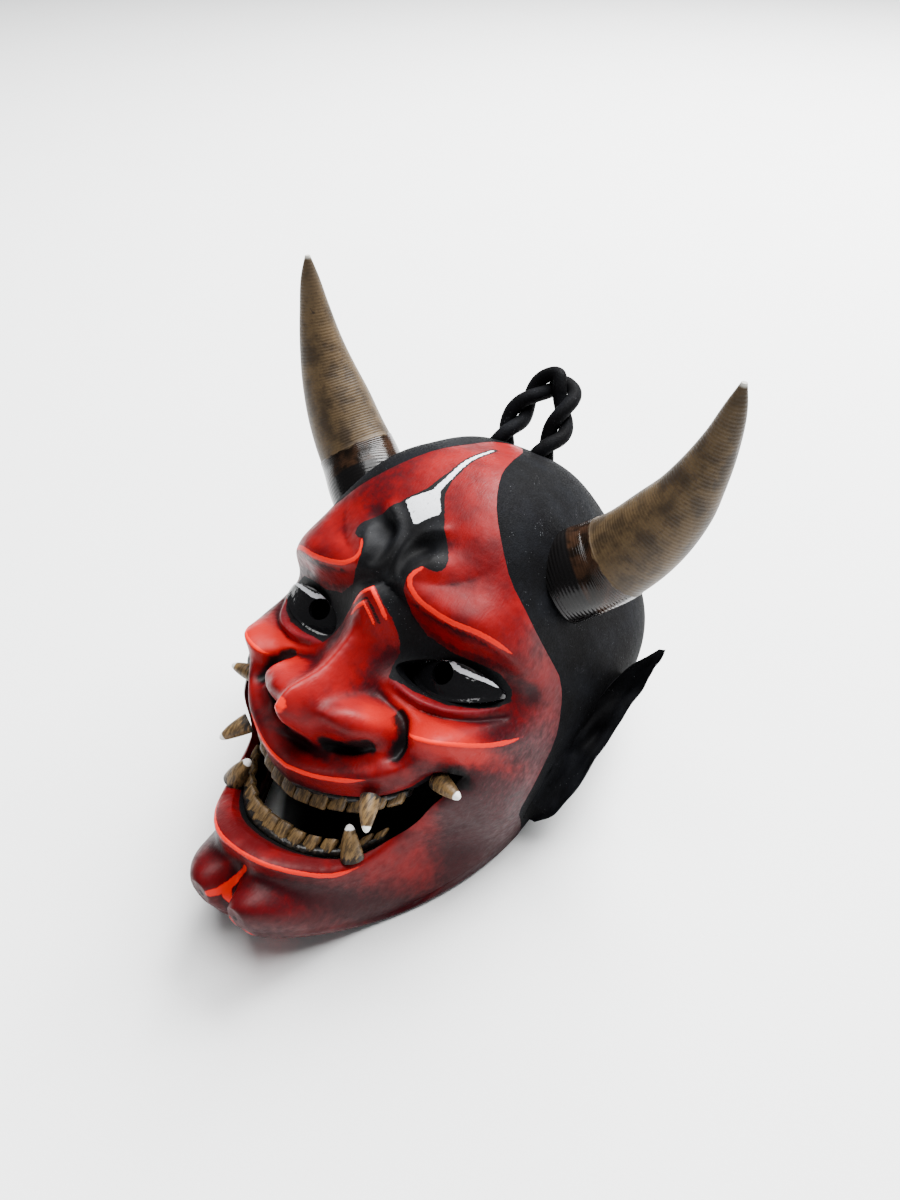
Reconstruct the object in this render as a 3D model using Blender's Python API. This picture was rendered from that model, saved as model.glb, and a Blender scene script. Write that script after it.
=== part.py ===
"""Demon mask with horns, resting on its flat rim: metres, +Z up, chin towards -Y, crown towards +Y.

Shapes are worked out in millimetres and scaled at the end. "Face" coordinates are x sideways, v up the
face and w straight out of it; the face leans back from upright, so that its v axis rises by FACE_TILT.
"""
import math

import bmesh
import bpy
import numpy as np
from mathutils import Matrix

MM = 0.001

# Driving dimensions: millimetres and degrees.
FACE_TILT = 40.0
PUPIL_HEIGHT = 50.0
CENTRE_Y = 7.5
ORIGIN_SHIFT_Y = -10.55
WALL = 3.0
GAP = 0.3
JAW_HALF_WIDTH = 32.0
SIDE_SWELL = 0.17
SIDE_SWELL_HEIGHT = 27.0
SIDE_SWELL_SPREAD = 20.0
SWELL_START_Y = -34.0
SWELL_FULL_Y = 4.0
BACK_SWELL = 0.08
BACK_START_Y = 8.0
BACK_FULL_Y = 34.0
JAW_TAPER = 4.5
JAW_TAPER_X = 20.0
JAW_TAPER_TOP = -24.0
JAW_TAPER_FULL = -34.0
RIM_FADE = 6.0
DOME_ROWS = 48
DOME_COLUMNS = 37

EYE_CENTRE = (18.5, -1.2)
EYE_HALF_LENGTH = 10.4
EYE_HALF_HEIGHT = 4.0
EYE_TURN = 12.0
EYEBALL_RADIUS = 13.0
PUPIL_RADIUS = 2.8

HORN_BASE_DIAMETER = 19.0
LOOP_STRAND_DIAMETER = 3.4
LOOP_TWISTS = 2.5
LOOP_POINTS = 45
LOOP_AXIS = (0.0, -0.55, 0.83)
SEAM_APEX_Z = -4.0
SEAM_REACH = 125.0
SEAM_RADIUS = 60.0
FRONT_LIMIT = -22.0
FRONT_SOFTNESS = 4.0

EYE_FRONT = 0.6
EYE_THICKNESS = 1.4
PUPIL_CENTRE = (16.5, -0.4)
TOOTH_STEPS = 14
TOOTH_REACH = 3.2
TOOTH_FRONT = 2.0
UPPER_TEETH_CURVE = 0.012
LOWER_TEETH_CURVE = 0.02
TOOTH_THICKNESS = 2.6
TOOTH_EDGE = (0.4, 1.6)
TOOTH_LOW = 0.82
TOOTH_END_LOSS = 0.35
LIP_FOLLOW = 0.25
FANG_PROFILE = (1.0, 0.93, 0.74, 0.44, 0.1)
SIDES = ((-1, "left"), (1, "right"))

# The middle section of the plain dome, as (y, z), from the front of the rim over the crown to the back.
MIDDLE = [
    (-38.0, 0.0), (-45.5, 3.0), (-49.2, 9.5), (-50.2, 17.0), (-46.0, 22.5), (-33.0, 29.5), (-18.5, 42.5),
    (-3.2, 53.8), (8.4, 64.9), (15.9, 73.3), (21.6, 75.9), (30.0, 77.0), (40.2, 74.8),
    (54.0, 69.0), (66.0, 53.0), (72.5, 33.0), (74.0, 15.0), (73.0, 0.0),
]
# How square the dome's cross sections are (superellipse power), by angle from the front of the rim.
SQUARENESS = [
    (0.0, 1.85), (12.0, 1.75), (30.0, 1.85), (50.0, 2.3), (70.0, 3.3), (90.0, 3.7), (105.0, 3.3),
    (125.0, 3.1), (150.0, 4.0), (180.0, 3.2),
]
# Where the face and skull pieces meet, as (x, y, z) on the right side, from below the table to the crown.
SEAM = [
    (33.0, 8.0, -6.0), (34.2, 6.5, 4.0), (35.2, 3.5, 11.0), (36.3, 0.6, 18.5), (36.9, 5.5, 25.5),
    (36.6, 12.3, 31.5),
    (35.0, 16.0, 38.5), (33.4, 16.8, 43.5), (31.6, 15.4, 49.5), (27.5, 13.5, 59.5), (22.4, 14.2, 66.6),
    (17.5, 17.8, 71.4), (13.2, 22.5, 74.8), (8.6, 31.0, 76.4), (5.6, 41.0, 75.0), (3.2, 49.0, 72.0),
    (0.0, 52.5, 70.0),
]
SEAM_FRONT = [(22.0, -38.0, -8.0), (0.0, -60.0, -10.0)]

# The mouth opening on the right side, as (x, v): its upper and its lower edge, both from the middle out.
MOUTH_TOP = [(0.0, -33.4), (8.0, -31.8), (15.0, -28.6), (20.5, -23.6), (24.5, -18.2), (29.0, -16.6)]
MOUTH_BOTTOM = [
    (0.0, -45.6), (7.7, -45.1), (13.6, -43.2), (17.1, -40.5), (20.6, -34.3), (25.6, -25.6), (29.0, -16.6),
]

# Modelled lines of the face on the right side, as (x, v, height).
BROW = [(7.5, 14.0, 5.5), (11.0, 11.8, 6.0), (18.0, 11.0, 5.5), (26.0, 11.0, 4.0), (33.0, 9.5, 2.0)]
NOSE = [(0.0, 9.0, 6.0), (0.0, 0.0, 7.5), (0.0, -9.0, 10.0), (0.0, -17.0, 14.5), (0.0, -20.0, 13.0)]
CHEEK = [(14.5, -12.0, 2.5), (21.0, -11.8, 4.5), (28.0, -9.5, 4.5), (33.0, -5.0, 2.5), (33.5, 1.0, 1.0)]
UPPER_LIP = [(0.0, -29.0, 7.0), (8.0, -27.5, 6.5), (16.0, -24.0, 5.5), (22.0, -19.0, 4.5), (26.0, -15.0, 2.5)]
LOWER_LIP = [
    (0.0, -48.2, 5.5), (9.0, -47.4, 6.0), (15.2, -45.6, 6.4), (19.6, -39.5, 6.2), (24.6, -29.5, 5.0),
    (28.5, -19.0, 1.5),
]

# The horn's centre line on the right side, as (x, y, z, part of the base diameter).
HORN = [
    (25.0, 30.0, 57.5, 1.0), (28.5, 32.0, 60.0, 1.0), (32.5, 34.5, 62.8, 0.97), (37.5, 36.4, 68.2, 0.91),
    (41.8, 38.0, 74.8, 0.82), (44.8, 39.0, 80.6, 0.69), (46.7, 39.6, 86.0, 0.56), (49.0, 40.7, 95.0, 0.36),
    (50.0, 41.2, 102.2, 0.20), (50.3, 41.5, 106.4, 0.06),
]

# The ear, as stations from lobe to tip: front root, outer edge and back root, each (x, y, z).
EAR = [
    ((33.0, 3.0, 10.0), (37.2, 5.5, 9.5), (33.0, 8.5, 6.5)),
    ((34.8, 4.0, 14.5), (40.8, 7.5, 12.5), (34.0, 11.5, 8.5)),
    ((36.4, 8.0, 20.0), (42.8, 12.5, 18.5), (34.5, 18.0, 12.5)),
    ((37.0, 15.0, 25.5), (44.4, 18.5, 25.0), (34.5, 25.5, 17.0)),
    ((37.6, 23.0, 29.0), (45.4, 25.5, 30.0), (34.5, 33.0, 21.0)),
    ((38.8, 30.5, 32.0), (46.2, 32.5, 33.5), (35.5, 39.0, 25.0)),
    ((42.2, 36.3, 37.6), (47.0, 37.0, 38.0), (42.5, 39.5, 34.5)),
    ((46.4, 38.6, 42.6), (47.6, 39.0, 42.8), (46.8, 39.4, 41.8)),
]

# The loop's centre line on its right leg, as (x, y, z), from the crown up to its top.
LOOP = [
    (5.2, 51.0, 66.0), (5.4, 55.0, 69.5), (5.6, 59.0, 72.0), (4.8, 64.0, 75.5), (2.6, 68.0, 78.5),
    (0.0, 69.5, 79.8),
]
# Where the rows of teeth start behind the lips on the right side, as (x, v), from the outer end inwards.
UPPER_TEETH = [(20.0, -25.2), (15.0, -29.4), (8.0, -32.5), (0.0, -34.1)]
LOWER_TEETH = [(18.6, -35.4), (14.2, -40.9), (7.8, -44.1), (0.0, -44.9)]
# Each fang on the right side: its base and tip in face coordinates, and its base diameter.
FANGS = {
    "upper_canine": ((17.0, -29.4, 4.9), (19.9, -34.0, 6.6), 3.8),
    "corner_tusk": ((25.0, -19.6, -3.0), (31.2, -20.4, -0.8), 4.4),
    "lower_canine": ((16.2, -40.4, 0.6), (13.8, -35.5, 2.2), 4.2),
}

COS_TILT = math.cos(math.radians(FACE_TILT))
SIN_TILT = math.sin(math.radians(FACE_TILT))


# ---------------------------------------------------------------- curves and coordinates

def smooth_curve(at, knots, values):
    """Cubic curve through (knots, values), with slopes taken from the neighbours."""
    knots = np.asarray(knots, float)
    values = np.asarray(values, float)
    slopes = np.gradient(values, knots)
    at = np.clip(at, knots[0], knots[-1])
    i = np.clip(np.searchsorted(knots, at) - 1, 0, len(knots) - 2)
    step = knots[i + 1] - knots[i]
    t = (at - knots[i]) / step
    return (
        (2 * t**3 - 3 * t**2 + 1) * values[i]
        + (t**3 - 2 * t**2 + t) * step * slopes[i]
        + (-2 * t**3 + 3 * t**2) * values[i + 1]
        + (t**3 - t**2) * step * slopes[i + 1]
    )


def smooth_path(points, count):
    """`count` points evenly along a smooth curve through `points`."""
    points = np.asarray(points, float)
    steps = np.linalg.norm(np.diff(points, axis=0), axis=1)
    along = np.concatenate([[0.0], np.cumsum(steps)])
    at = np.linspace(0.0, along[-1], count)
    return np.stack([smooth_curve(at, along, column) for column in points.T], axis=-1)


def smoothstep(value, low, high):
    """0 at low, 1 at high, with a soft start and end."""
    t = np.clip((value - low) / (high - low), 0.0, 1.0)
    return t * t * (3 - 2 * t)


def mirrored(points):
    """A right-side run of points from the edge to the middle, followed by its left-side twin."""
    points = [tuple(p) for p in points]
    left = [(-p[0],) + p[1:] for p in reversed(points) if abs(p[0]) > 1e-9]
    return points + left


def face_to_table(x, v, w):
    """Face coordinates to (x, y, z) above the table."""
    return x, v * COS_TILT - w * SIN_TILT, v * SIN_TILT + w * COS_TILT + PUPIL_HEIGHT


def table_to_face(x, y, z):
    up = z - PUPIL_HEIGHT
    return x, y * COS_TILT + up * SIN_TILT, -y * SIN_TILT + up * COS_TILT


# ---------------------------------------------------------------- the mask's outer surface

def side_swell(y, z):
    """How much wider the cheeks and the back of the head are than the plain dome; the jaw stays narrow."""
    level = np.exp(-(((z - SIDE_SWELL_HEIGHT) / SIDE_SWELL_SPREAD) ** 2))
    cheeks = SIDE_SWELL * smoothstep(y, SWELL_START_Y, SWELL_FULL_Y)
    return 1.0 + level * (cheeks + BACK_SWELL * smoothstep(y, BACK_START_Y, BACK_FULL_Y))


def dome_radius(theta, phi):
    """Distance of the plain dome from its centre, before the sides swell."""
    y = np.array([p[0] for p in MIDDLE]) - CENTRE_Y
    z = np.array([p[1] for p in MIDDLE])
    reach = smooth_curve(theta, np.arctan2(z, -y), np.hypot(y, z))
    power = smooth_curve(np.degrees(theta), *zip(*SQUARENESS))
    across = np.abs(np.cos(phi) / reach) ** power + np.abs(np.sin(phi) / JAW_HALF_WIDTH) ** power
    return across ** (-1.0 / power)


def dome(theta, phi):
    """The plain dome: theta goes from the front over the crown to the back, phi from side to side."""
    radius = dome_radius(theta, phi)
    y = CENTRE_Y - radius * np.cos(phi) * np.cos(theta)
    z = radius * np.cos(phi) * np.sin(theta)
    return radius * np.sin(phi) * side_swell(y, z), y, z


def pad(x, v, centre, radii, height):
    """A soft round swelling, or a hollow where height is negative."""
    return height * np.exp(-(((x - centre[0]) / radii[0]) ** 2) - ((v - centre[1]) / radii[1]) ** 2)


def ridge(x, v, points, above, below):
    """A raised line through (x, v, height) points, fading over `above` and `below` it."""
    best = np.full(np.shape(x), 1e9)
    height = np.zeros(np.shape(x))
    reach = np.ones(np.shape(x))
    for (ax, av, ah), (bx, bv, bh) in zip(points[:-1], points[1:]):
        lx, lv = bx - ax, bv - av
        t = np.clip(((x - ax) * lx + (v - av) * lv) / (lx * lx + lv * lv), 0.0, 1.0)
        dx, dv = x - (ax + t * lx), v - (av + t * lv)
        away = np.hypot(dx, dv)
        nearer = away < best
        best = np.where(nearer, away, best)
        height = np.where(nearer, ah + t * (bh - ah), height)
        reach = np.where(nearer, np.where(dv >= 0.0, above, below), reach)
    return height * np.exp(-((best / reach) ** 2))


def relief(x, v):
    """How far the modelled face stands out of the plain dome, straight out of the face."""
    x = np.abs(x)
    out = pad(x, v, (17.5, -0.5), (12.5, 6.5), -8.0)
    out -= JAW_TAPER * np.clip((x / JAW_TAPER_X) ** 2, 0.0, 1.5) * smoothstep(v, JAW_TAPER_TOP, JAW_TAPER_FULL)
    out += pad(x, v, (17.5, -1.0), (9.5, 4.5), 5.0)
    out += ridge(x, v, BROW, 7.0, 2.6)
    out += ridge(x, v, NOSE, 5.5, 4.5)
    out += pad(x, v, (0.0, -17.5), (6.5, 6.0), 2.0)
    out += pad(x, v, (8.8, -18.5), (4.8, 5.0), 8.5)
    out += ridge(x, v, CHEEK, 6.0, 3.0)
    out += ridge(x, v, UPPER_LIP, 5.5, 3.0)
    out += ridge(x, v, LOWER_LIP, 3.0, 4.5)
    out += pad(x, v, (9.6, -60.6), (7.6, 7.2), 9.4)
    return out + pad(x, v, (0.0, -60.0), (2.5, 7.0), -2.5)


def mask_surface(theta, phi):
    x, y, z = dome(theta, phi)
    above_rim = np.clip(z / RIM_FADE, 0.0, 1.0)
    x, v, w = table_to_face(x, y, z)
    front = 1.0 / (1.0 + np.exp(-(w - FRONT_LIMIT) / FRONT_SOFTNESS))
    return face_to_table(x, v, w + relief(x, v) * front * above_rim)


def surface_height(x, v):
    """The modelled face's w at (x, v), found by halving the distance to the plain dome."""
    x = np.asarray(x, float)
    v = np.asarray(v, float)
    low = np.full(np.shape(x), -30.0)
    high = np.full(np.shape(x), 30.0)
    for _ in range(30):
        w = (low + high) / 2
        px, py, pz = face_to_table(x, v, w)
        px = px / side_swell(py, pz)
        flat = np.hypot(py - CENTRE_Y, pz)
        inside = np.hypot(px, flat) < dome_radius(np.arctan2(pz, CENTRE_Y - py), np.arctan2(px, flat))
        low = np.where(inside, w, low)
        high = np.where(inside, high, w)
    return low + relief(x, v)


# ---------------------------------------------------------------- making objects

def clear_scene():
    for obj in list(bpy.data.objects):
        bpy.data.objects.remove(obj, do_unlink=True)


def material(name, colour, roughness):
    mat = bpy.data.materials.new(name)
    mat.use_nodes = True
    shader = mat.node_tree.nodes["Principled BSDF"]
    shader.inputs["Base Color"].default_value = (*colour, 1.0)
    shader.inputs["Roughness"].default_value = roughness
    shader.inputs["Metallic"].default_value = 0.0
    return mat


def solid(name, points, faces, mat=None):
    """A closed mesh object from millimetre points, placed over the origin and facing outwards."""
    mesh = bpy.data.meshes.new(name)
    mesh.from_pydata([tuple(map(float, p)) for p in points], [], [tuple(f) for f in faces])
    mesh.transform(Matrix.Translation((0.0, ORIGIN_SHIFT_Y * MM, 0.0)) @ Matrix.Scale(MM, 4))
    bm = bmesh.new()
    bm.from_mesh(mesh)
    bmesh.ops.recalc_face_normals(bm, faces=bm.faces)
    bmesh.ops.triangulate(bm, faces=bm.faces)
    bm.to_mesh(mesh)
    bm.free()
    mesh.shade_smooth()
    mesh.set_sharp_from_angle(angle=math.radians(50))
    obj = bpy.data.objects.new(name, mesh)
    bpy.context.scene.collection.objects.link(obj)
    if mat:
        mesh.materials.append(mat)
    return obj


def cutter(obj):
    obj.hide_render = True
    obj.display_type = "WIRE"
    return obj


def boolean(obj, other, operation):
    mod = obj.modifiers.new(operation.title(), "BOOLEAN")
    mod.operation = operation
    mod.object = other
    mod.solver = "EXACT"


def loft(name, rings, mat=None):
    """A closed solid through rings of equally many points, with flat ends."""
    count = len(rings[0])
    points = [p for ring in rings for p in ring]
    faces = [tuple(range(count)), tuple(range(len(points) - count, len(points)))]
    for r in range(len(rings) - 1):
        for i in range(count):
            a, b = r * count + i, r * count + (i + 1) % count
            faces.append((a, b, b + count, a + count))
    return solid(name, points, faces, mat)


def prism(name, outline, low, high):
    """A solid with an (x, v) outline that runs straight out of the face from w = low to w = high."""
    rings = [[face_to_table(x, v, w) for x, v in outline] for w in (low, high)]
    return loft(name, rings)


def tube(name, path, radii, sides, mat=None):
    """A closed round bar along `path`, with a radius at every point and its sides kept untwisted."""
    path = np.asarray(path, float)
    headings = np.gradient(path, axis=0)
    headings /= np.linalg.norm(headings, axis=1, keepdims=True)
    side = np.cross(headings[0], (0.31, 0.2, 0.93))
    rings = []
    for point, heading, radius in zip(path, headings, radii):
        side = side - heading * np.dot(side, heading)
        side /= np.linalg.norm(side)
        other = np.cross(heading, side)
        angles = np.linspace(0.0, 2 * math.pi, sides, endpoint=False)
        rings.append([point + radius * (math.cos(a) * side + math.sin(a) * other) for a in angles])
    return loft(name, rings, mat)


# ---------------------------------------------------------------- the shells

def dome_solid(name, rows, columns, inset=0.0, drop=0.0):
    """The mask's outer form as a solid block, shrunk by `inset` and carried `drop` below the table."""
    turn = np.linspace(0.0, 1.0, rows)
    theta = np.radians(smooth_curve(turn, [0.0, 0.08, 0.45, 0.76, 1.0], [0.0, 12.0, 62.0, 112.0, 180.0]))
    across = np.linspace(-1.0, 1.0, columns)
    phi = math.pi / 2 * (0.72 * across + 0.28 * across**3)
    grid = np.stack(mask_surface(*np.meshgrid(theta, phi, indexing="ij")), axis=-1)
    centre = np.array([0.0, CENTRE_Y, 0.0])
    rays = grid - centre
    lengths = np.linalg.norm(rays, axis=-1, keepdims=True)
    grid = centre + rays * (1.0 - inset / lengths) - np.array([0.0, 0.0, drop])
    left, right = grid[0, 0], grid[0, -1]
    points = [left, right] + [grid[i, j] for i in range(rows) for j in range(1, columns - 1)]

    def index(i, j):
        if j in (0, columns - 1):
            return 0 if j == 0 else 1
        return 2 + i * (columns - 2) + j - 1

    faces = []
    for i in range(rows - 1):
        for j in range(columns - 1):
            ring = [index(i, j), index(i, j + 1), index(i + 1, j + 1), index(i + 1, j)]
            faces.append(tuple(dict.fromkeys(ring)))
    front = [index(0, j) for j in range(columns)]
    back = [index(rows - 1, j) for j in range(columns - 2, 0, -1)]
    faces.append(tuple(front + back))
    return solid(name, points, faces)


def seam_cone(name, widen):
    """A cone from the dome's centre through the seam: what is inside it belongs to the face."""
    run = smooth_path(SEAM, 26)
    outline = np.array(mirrored(run) + mirrored(SEAM_FRONT)[::-1])
    centre = np.array([0.0, CENTRE_Y, SEAM_APEX_Z])
    axis = np.array(LOOP_AXIS)
    rays = outline - centre
    rays /= np.linalg.norm(rays, axis=1, keepdims=True)
    aside = rays - np.outer(rays @ axis, axis)
    aside /= np.linalg.norm(aside, axis=1, keepdims=True)
    far = centre + SEAM_REACH * (rays + aside * widen / SEAM_RADIUS)
    points = [centre, centre + 1.2 * SEAM_REACH * axis] + list(far)
    count = len(far)
    faces = []
    for i in range(count):
        a, b = 2 + i, 2 + (i + 1) % count
        faces.append((0, a, b))
        faces.append((1, b, a))
    return cutter(solid(name, points, faces))


def eye_outline(side, inset, count):
    """The almond of an eye opening as (x, v) points; its outer corner sits lower than its inner one."""
    turn = math.radians(EYE_TURN)
    points = []
    for i in range(count):
        a = 2 * math.pi * i / count
        along = (EYE_HALF_LENGTH - inset) * math.cos(a)
        height = (EYE_HALF_HEIGHT - inset) * math.sin(a) * (1.0 - 0.25 * math.cos(a) ** 2)
        x = EYE_CENTRE[0] + along * math.cos(turn) - height * math.sin(turn)
        v = EYE_CENTRE[1] + along * math.sin(turn) + height * math.cos(turn)
        points.append((side * x, v))
    return points


def make_shells(red, black):
    block = cutter(dome_solid("outer_form", DOME_ROWS, DOME_COLUMNS))
    hollow = cutter(dome_solid("hollow_form", 24, 19, inset=WALL, drop=0.6))
    face = bpy.data.objects.new("face_shell", block.data.copy())
    skull = bpy.data.objects.new("skull_shell", block.data.copy())
    for obj, mat in ((face, red), (skull, black)):
        bpy.context.scene.collection.objects.link(obj)
        obj.data.materials.append(mat)
        boolean(obj, hollow, "DIFFERENCE")
    boolean(face, seam_cone("face_cone", -GAP / 2), "INTERSECT")
    boolean(skull, seam_cone("skull_cone", GAP / 2), "DIFFERENCE")
    mouth = smooth_path(MOUTH_TOP, 12)[:-1].tolist() + smooth_path(MOUTH_BOTTOM, 12)[::-1].tolist()
    mouth_outline = mouth + [[-x, v] for x, v in reversed(mouth) if abs(x) > 1e-6]
    boolean(face, cutter(prism("mouth_cutter", mouth_outline, -22.0, 40.0)), "DIFFERENCE")
    for side, word in SIDES:
        opening = prism("eye_cutter_" + word, eye_outline(side, 0.0, 24), -22.0, 30.0)
        boolean(face, cutter(opening), "DIFFERENCE")


# ---------------------------------------------------------------- horns, ears, eyes, teeth and loop

def sided(side, points):
    """Right-side points kept, or mirrored to the left."""
    points = np.array(points, float)
    points[..., 0] *= side
    return points


def make_horn(side, word, mat, clear_of):
    run = smooth_path(sided(side, HORN), 16)
    radii = np.maximum(run[:, 3], 0.05) * HORN_BASE_DIAMETER / 2
    boolean(tube("horn_" + word, run[:, :3], radii, 14, mat), clear_of, "DIFFERENCE")


def make_ear(side, word, mat, clear_of):
    """A crescent in section: hollow towards the front, with a rounded outer edge."""
    rings = []
    for front, edge, back in EAR:
        front, edge, back = (np.array(p) for p in (front, edge, back))
        hollow = (front + edge) / 2 + (back - front) * 0.28
        ring = [front, (front + hollow) / 2, hollow, (2 * edge + hollow) / 3, edge]
        ring += [edge + (back - front) * 0.16, (edge + 2 * back) / 3 + (back - front) * 0.08, back]
        rings.append(sided(side, ring))
    boolean(loft("ear_" + word, rings, mat), clear_of, "DIFFERENCE")


def eyeball_depth(x, v, side, radius):
    away = (x - side * EYE_CENTRE[0]) ** 2 + (v - EYE_CENTRE[1]) ** 2
    return np.sqrt(radius**2 - away) - EYEBALL_RADIUS + EYE_FRONT


def make_eye(side, word, mat):
    """A curved shell that fills the eye opening, with a round pupil hole through it."""
    count = 24
    outline = np.array(eye_outline(side, GAP, count))
    pupil = np.array([side * PUPIL_CENTRE[0], PUPIL_CENTRE[1]])
    angles = np.arctan2(outline[:, 1] - pupil[1], outline[:, 0] - pupil[0])
    hole = pupil + PUPIL_RADIUS * np.stack([np.cos(angles), np.sin(angles)], axis=-1)
    rings = []
    for part in (0.0, 0.5, 1.0):
        run = hole + (outline - hole) * part
        rings.append([face_to_table(x, v, eyeball_depth(x, v, side, EYEBALL_RADIUS)) for x, v in run])
    for part in (1.0, 0.0):
        run = hole + (outline - hole) * part
        depth = EYEBALL_RADIUS - EYE_THICKNESS
        rings.append([face_to_table(x, v, eyeball_depth(x, v, side, depth)) for x, v in run])
    points = [p for ring in rings for p in ring]
    faces = []
    for r in range(len(rings)):
        for i in range(count):
            a, b = r * count + i, r * count + (i + 1) % count
            c, d = (a + count) % len(points), (b + count) % len(points)
            faces.append((a, b, d, c))
    solid("eye_" + word, points, faces, mat)


def make_tooth_row(name, edge, reach, curve, mat):
    """A curved bar of teeth behind one lip, with a bite edge that steps between the teeth."""
    run = smooth_path(edge, TOOTH_STEPS)
    line = [(-x, v) for x, v in run[:-1]] + [(x, v) for x, v in run[::-1]]
    rings = []
    for i, (x, v) in enumerate(line):
        tip = reach * (1.0 if i % 3 else TOOTH_LOW) * (1.0 - TOOTH_END_LOSS * (x / run[0][0]) ** 2)
        front = surface_height(abs(x), v) * LIP_FOLLOW + TOOTH_FRONT - curve * x * x
        edge_front, edge_back = front - TOOTH_EDGE[0], front - TOOTH_EDGE[1]
        corners = [(v, front), (v + tip, edge_front), (v + tip, edge_back), (v, front - TOOTH_THICKNESS)]
        rings.append([face_to_table(x, cv, cw) for cv, cw in corners])
    loft(name, rings, mat)


def make_fang(name, side, fang, mat):
    (bx, bv, bw), (tx, tv, tw), diameter = fang
    base, tip = np.array([side * bx, bv, bw]), np.array([side * tx, tv, tw])
    along = np.linspace(0.0, 1.0, len(FANG_PROFILE))[:, None]
    path = np.array([face_to_table(*p) for p in base + (tip - base) * along])
    radii = diameter / 2 * np.array(FANG_PROFILE)
    return tube(name, path, radii, 8, mat)


def make_loop(mat, clear_of):
    """Two strands twisted round one upright loop at the crown."""
    right = [(x, y, z) for x, y, z in LOOP]
    path = smooth_path([(-x, y, z) for x, y, z in right[:-1]] + right[::-1], LOOP_POINTS)
    headings = np.gradient(path, axis=0)
    headings /= np.linalg.norm(headings, axis=1, keepdims=True)
    normal = np.cross(headings, LOOP_AXIS)
    normal /= np.linalg.norm(normal, axis=1, keepdims=True)
    other = np.cross(headings, normal)
    turn = np.linspace(0.0, 2 * math.pi * LOOP_TWISTS, LOOP_POINTS)
    for start, word in ((0.0, "front"), (math.pi, "back")):
        spin = np.cos(turn + start)[:, None] * normal + np.sin(turn + start)[:, None] * other
        strand = path + spin * (LOOP_STRAND_DIAMETER / 2 + GAP / 2)
        radii = np.full(LOOP_POINTS, LOOP_STRAND_DIAMETER / 2)
        boolean(tube("loop_strand_" + word, strand, radii, 7, mat), clear_of, "DIFFERENCE")


def main():
    clear_scene()
    red = material("painted_red", (0.40, 0.030, 0.028), 0.45)
    black = material("matte_black", (0.014, 0.015, 0.017), 0.6)
    gloss = material("gloss_black", (0.008, 0.008, 0.009), 0.15)
    horn = material("horn_brown", (0.16, 0.10, 0.05), 0.5)
    ivory = material("aged_ivory", (0.32, 0.22, 0.11), 0.5)
    make_shells(red, black)
    clear = cutter(dome_solid("clearance_form", DOME_ROWS, DOME_COLUMNS, inset=-GAP))
    for side, word in SIDES:
        make_horn(side, word, horn, clear)
        make_ear(side, word, black, clear)
        make_eye(side, word, gloss)
        for name, fang in FANGS.items():
            obj = make_fang(name + "_" + word, side, fang, ivory)
            if name == "corner_tusk":
                boolean(obj, clear, "DIFFERENCE")
    make_tooth_row("upper_teeth", UPPER_TEETH, -TOOTH_REACH, UPPER_TEETH_CURVE, ivory)
    make_tooth_row("lower_teeth", LOWER_TEETH, TOOTH_REACH, LOWER_TEETH_CURVE, ivory)
    make_loop(black, clear)


main()
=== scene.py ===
"""The looks of the horned demon mask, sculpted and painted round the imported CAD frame.

Shapes are worked out in millimetres and scaled at the end. "Face" coordinates are x sideways, v up the
face and w straight out of it. Curves on the face are given for the right side and mirrored to the left.
"""
import math

import bmesh
import bpy
import numpy as np
from mathutils import Matrix, Vector
from mathutils.kdtree import KDTree


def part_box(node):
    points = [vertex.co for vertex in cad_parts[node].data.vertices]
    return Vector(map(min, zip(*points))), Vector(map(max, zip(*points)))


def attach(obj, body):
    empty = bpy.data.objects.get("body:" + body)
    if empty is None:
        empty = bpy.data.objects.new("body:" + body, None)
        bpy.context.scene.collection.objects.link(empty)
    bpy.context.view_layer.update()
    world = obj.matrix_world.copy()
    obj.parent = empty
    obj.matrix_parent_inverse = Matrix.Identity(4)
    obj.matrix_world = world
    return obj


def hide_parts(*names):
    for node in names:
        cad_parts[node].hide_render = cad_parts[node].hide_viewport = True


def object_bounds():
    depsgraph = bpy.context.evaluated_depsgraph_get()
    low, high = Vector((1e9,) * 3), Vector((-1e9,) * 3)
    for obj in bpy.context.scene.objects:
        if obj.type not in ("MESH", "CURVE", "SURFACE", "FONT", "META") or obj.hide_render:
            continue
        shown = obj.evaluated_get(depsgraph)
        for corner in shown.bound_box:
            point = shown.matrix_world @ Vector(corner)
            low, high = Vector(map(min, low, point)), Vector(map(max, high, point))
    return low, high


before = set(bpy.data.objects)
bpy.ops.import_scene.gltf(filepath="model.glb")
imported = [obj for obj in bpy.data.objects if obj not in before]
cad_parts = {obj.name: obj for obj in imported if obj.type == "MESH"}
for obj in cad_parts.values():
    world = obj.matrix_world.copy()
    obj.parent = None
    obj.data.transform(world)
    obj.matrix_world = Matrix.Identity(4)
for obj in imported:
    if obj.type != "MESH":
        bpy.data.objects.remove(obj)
cad_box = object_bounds()

MM = 0.001
FACE_TILT = 40.0
PUPIL_HEIGHT = 50.0
CENTRE_Y = 7.5
DOME_BACK_Y = 74.0
JAW_HALF_WIDTH = 32.0
SIDE_SWELL = 0.17
SIDE_SWELL_HEIGHT = 27.0
SIDE_SWELL_SPREAD = 20.0
SWELL_START_Y = -34.0
SWELL_FULL_Y = 4.0
BACK_SWELL = 0.08
BACK_START_Y = 8.0
BACK_FULL_Y = 34.0
JAW_TAPER = 4.5
JAW_TAPER_X = 20.0
JAW_TAPER_TOP = -24.0
JAW_TAPER_FULL = -34.0
RIM_FADE = 6.0
LINE_BLEND = 0.7
FRONT_DEPTH = -22.0
WALL = 3.2
HOLLOW_DROP = 0.6
ROWS = 440
COLUMNS = 360
HOLLOW_ROWS = 60
HOLLOW_COLUMNS = 50
SHIFT_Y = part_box("skull_shell")[1].y / MM - DOME_BACK_Y
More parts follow.
